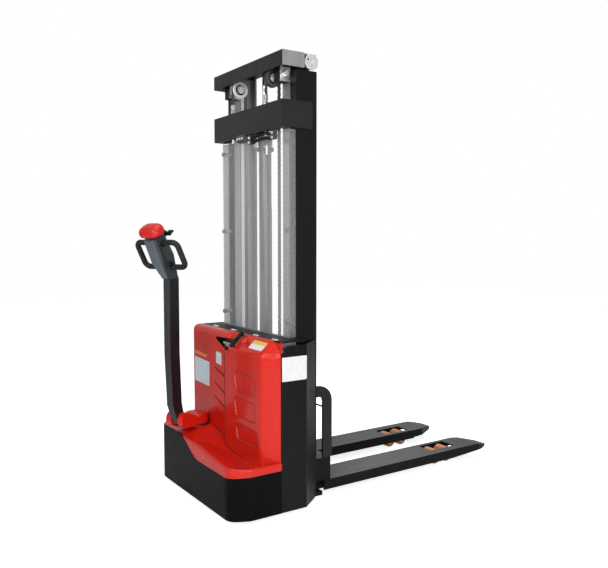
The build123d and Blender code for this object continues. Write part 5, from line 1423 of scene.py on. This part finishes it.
class STACKER_OT_tiller(bpy.types.Operator):
    """Tiller arm, head shell, cap, hand grips and the red knuckle at its foot"""

    bl_idname = "stacker.tiller"
    bl_label = "Tiller"
    bl_options = {"REGISTER", "UNDO"}

    def execute(self, context):
        arm = rounded_copy("tiller_arm", "arm", 0.004, 3)
        paint_faces(arm, "arm_grey", lambda c, n: n.dot(RADIAL) > 0.6)
        for side, sign in SIDES:
            bm = bmesh.new()
            foot = Vector((STEER_X, STEER_Y, 0)) + RADIAL * 203 + ACROSS * (sign * 19.6)
            low, high = (foot + Vector((0, 0, z)) for z in (720, 1040))
            prism(bm, [low, high, high - RADIAL * 3, low - RADIAL * 3], ACROSS * (sign * 0.25))
            piece("arm_groove_" + side, bm, "pocket", "tiller")
        head = rounded_copy("tiller_head", "head", 0.003, 3)
        paint_faces(head, "head_dark", lambda c, n: n.dot(ACROSS) < -0.55 or n.dot(HEAD_FACE) < -0.6)
        rounded_copy("tiller_grips", "rubber", 0.0006, 1)
        bm = bmesh.new()
        head_solid(bm, BUTTON_STATIONS)
        cap, body = "reverse_button_shell", "reverse_button"
        piece(cap, bm, "button", body, ("reverse_button",), smooth=60)
        bm = bmesh.new()
        rod(bm, head_spot(0, STEM_LOW, 0), head_spot(0, STEM_HIGH, 0), STEM_R, steps=40)
        piece("reverse_button_stem", bm, "plastic", "reverse_button")
        bm = bmesh.new()
        for sign in (-1, 1):
            prism(bm, [head_spot(sign * 40.4, along, out) for along, out in CHEEK], ACROSS * (sign * 1.6))
        soften(bm, 0.7, 2)
        piece("head_cheeks", bm, "head_dark", "tiller")
        bm = bmesh.new()
        for along in (60, 84):
            spot = head_spot(0, along, -46)
            rod(bm, spot, spot - HEAD_FACE * 9, 7, 6, steps=24)
        for sign in (-1, 1):
            for along in (84, 196):
                spot = head_spot(sign * 38, along, 6)
                rod(bm, spot, spot + ACROSS * (sign * 10), 17, 14.5, steps=32)
        piece("head_bosses", bm, "plastic", "tiller")
        for node in ("thumb_lever", "lift_rocker", "horn_button"):
            rounded_copy(node, "plastic", 0.002, 3)
        base = rounded_copy("tiller_base", "red", 0.007, 4)
        base.modifiers[0].angle_limit = radians(22)
        bm = bmesh.new()
        seal = [(57.4, 0), (61.5, 0), (61.5, 5), (57.4, 9)]
        lathe(bm, seal, (STEER_X, STEER_Y, 314), (0, 0, 1), 64)
        piece("column_seal", bm, "rubber", BODY_OF["tiller_base"])
        return {"FINISHED"}


class STACKER_OT_fittings(bpy.types.Operator):
    """Small fittings on the deck, screws and bolts"""

    bl_idname = "stacker.fittings"
    bl_label = "Small fittings"
    bl_options = {"REGISTER", "UNDO"}

    def execute(self, context):
        bm = bmesh.new()
        for y, x in ((-167, -322), (-341, -324), (60, -318), (250, -318)):
            block(bm, (x - 9, y - 22, HOOD_TOP + 0.2), (x + 9, y + 22, HOOD_TOP + 2.6))
            for spot in (y - 12, y + 12):
                rod(bm, (x, spot, HOOD_TOP + 2), (x, spot, HOOD_TOP + 6), 6, steps=6)
        soften(bm, 0.5, 2)
        piece("deck_brackets", bm, "zinc", "chassis")
        bm = bmesh.new()
        for sign in (-1, 1):
            for x, z in ((-318, 560), (-318, 330), (-212, 560), (-212, 330)):
                start, end = SIDE_FACE - 1, SIDE_FACE + 0.7
                rod(bm, (x, sign * start, z), (x, sign * end, z), 5.5, 4.6, steps=20)
        piece("side_plate_screws", bm, "black", "chassis")
        return {"FINISHED"}


CLASSES = (
    StackerPaint, StackerSizes, STACKER_OT_finishes, STACKER_OT_stage, STACKER_OT_plates,
    STACKER_OT_skirt, STACKER_OT_hood, STACKER_OT_chains, STACKER_OT_head, STACKER_OT_rollers,
    STACKER_OT_tiller, STACKER_OT_fittings,
)
STEPS = ("finishes", "stage", "plates", "skirt", "hood", "chains", "head", "rollers", "tiller", "fittings")


class STACKER_PT_panel(bpy.types.Panel):
    """Lists the stacker's settings and build steps"""

    bl_idname = "STACKER_PT_panel"
    bl_label = "Walkie stacker"
    bl_space_type = "VIEW_3D"
    bl_region_type = "UI"
    bl_category = "Stacker"

    def draw(self, context):
        for settings in (context.scene.stacker_paint, context.scene.stacker_sizes):
            for key in settings.__annotations__:
                self.layout.prop(settings, key)
        for step in STEPS:
            self.layout.operator("stacker." + step)


def register():
    """Register the settings, operators and panel."""
    for cls in (*CLASSES, STACKER_PT_panel):
        bpy.utils.register_class(cls)
    bpy.types.Scene.stacker_paint = bpy.props.PointerProperty(type=StackerPaint)
    bpy.types.Scene.stacker_sizes = bpy.props.PointerProperty(type=StackerSizes)


def unregister():
    """Remove them again."""
    del bpy.types.Scene.stacker_sizes
    del bpy.types.Scene.stacker_paint
    for cls in reversed((*CLASSES, STACKER_PT_panel)):
        bpy.utils.unregister_class(cls)


def main():
    """Build the whole stacker."""
    register()
    for step in STEPS:
        getattr(bpy.ops.stacker, step)()


if __name__ == "__main__":
    main()
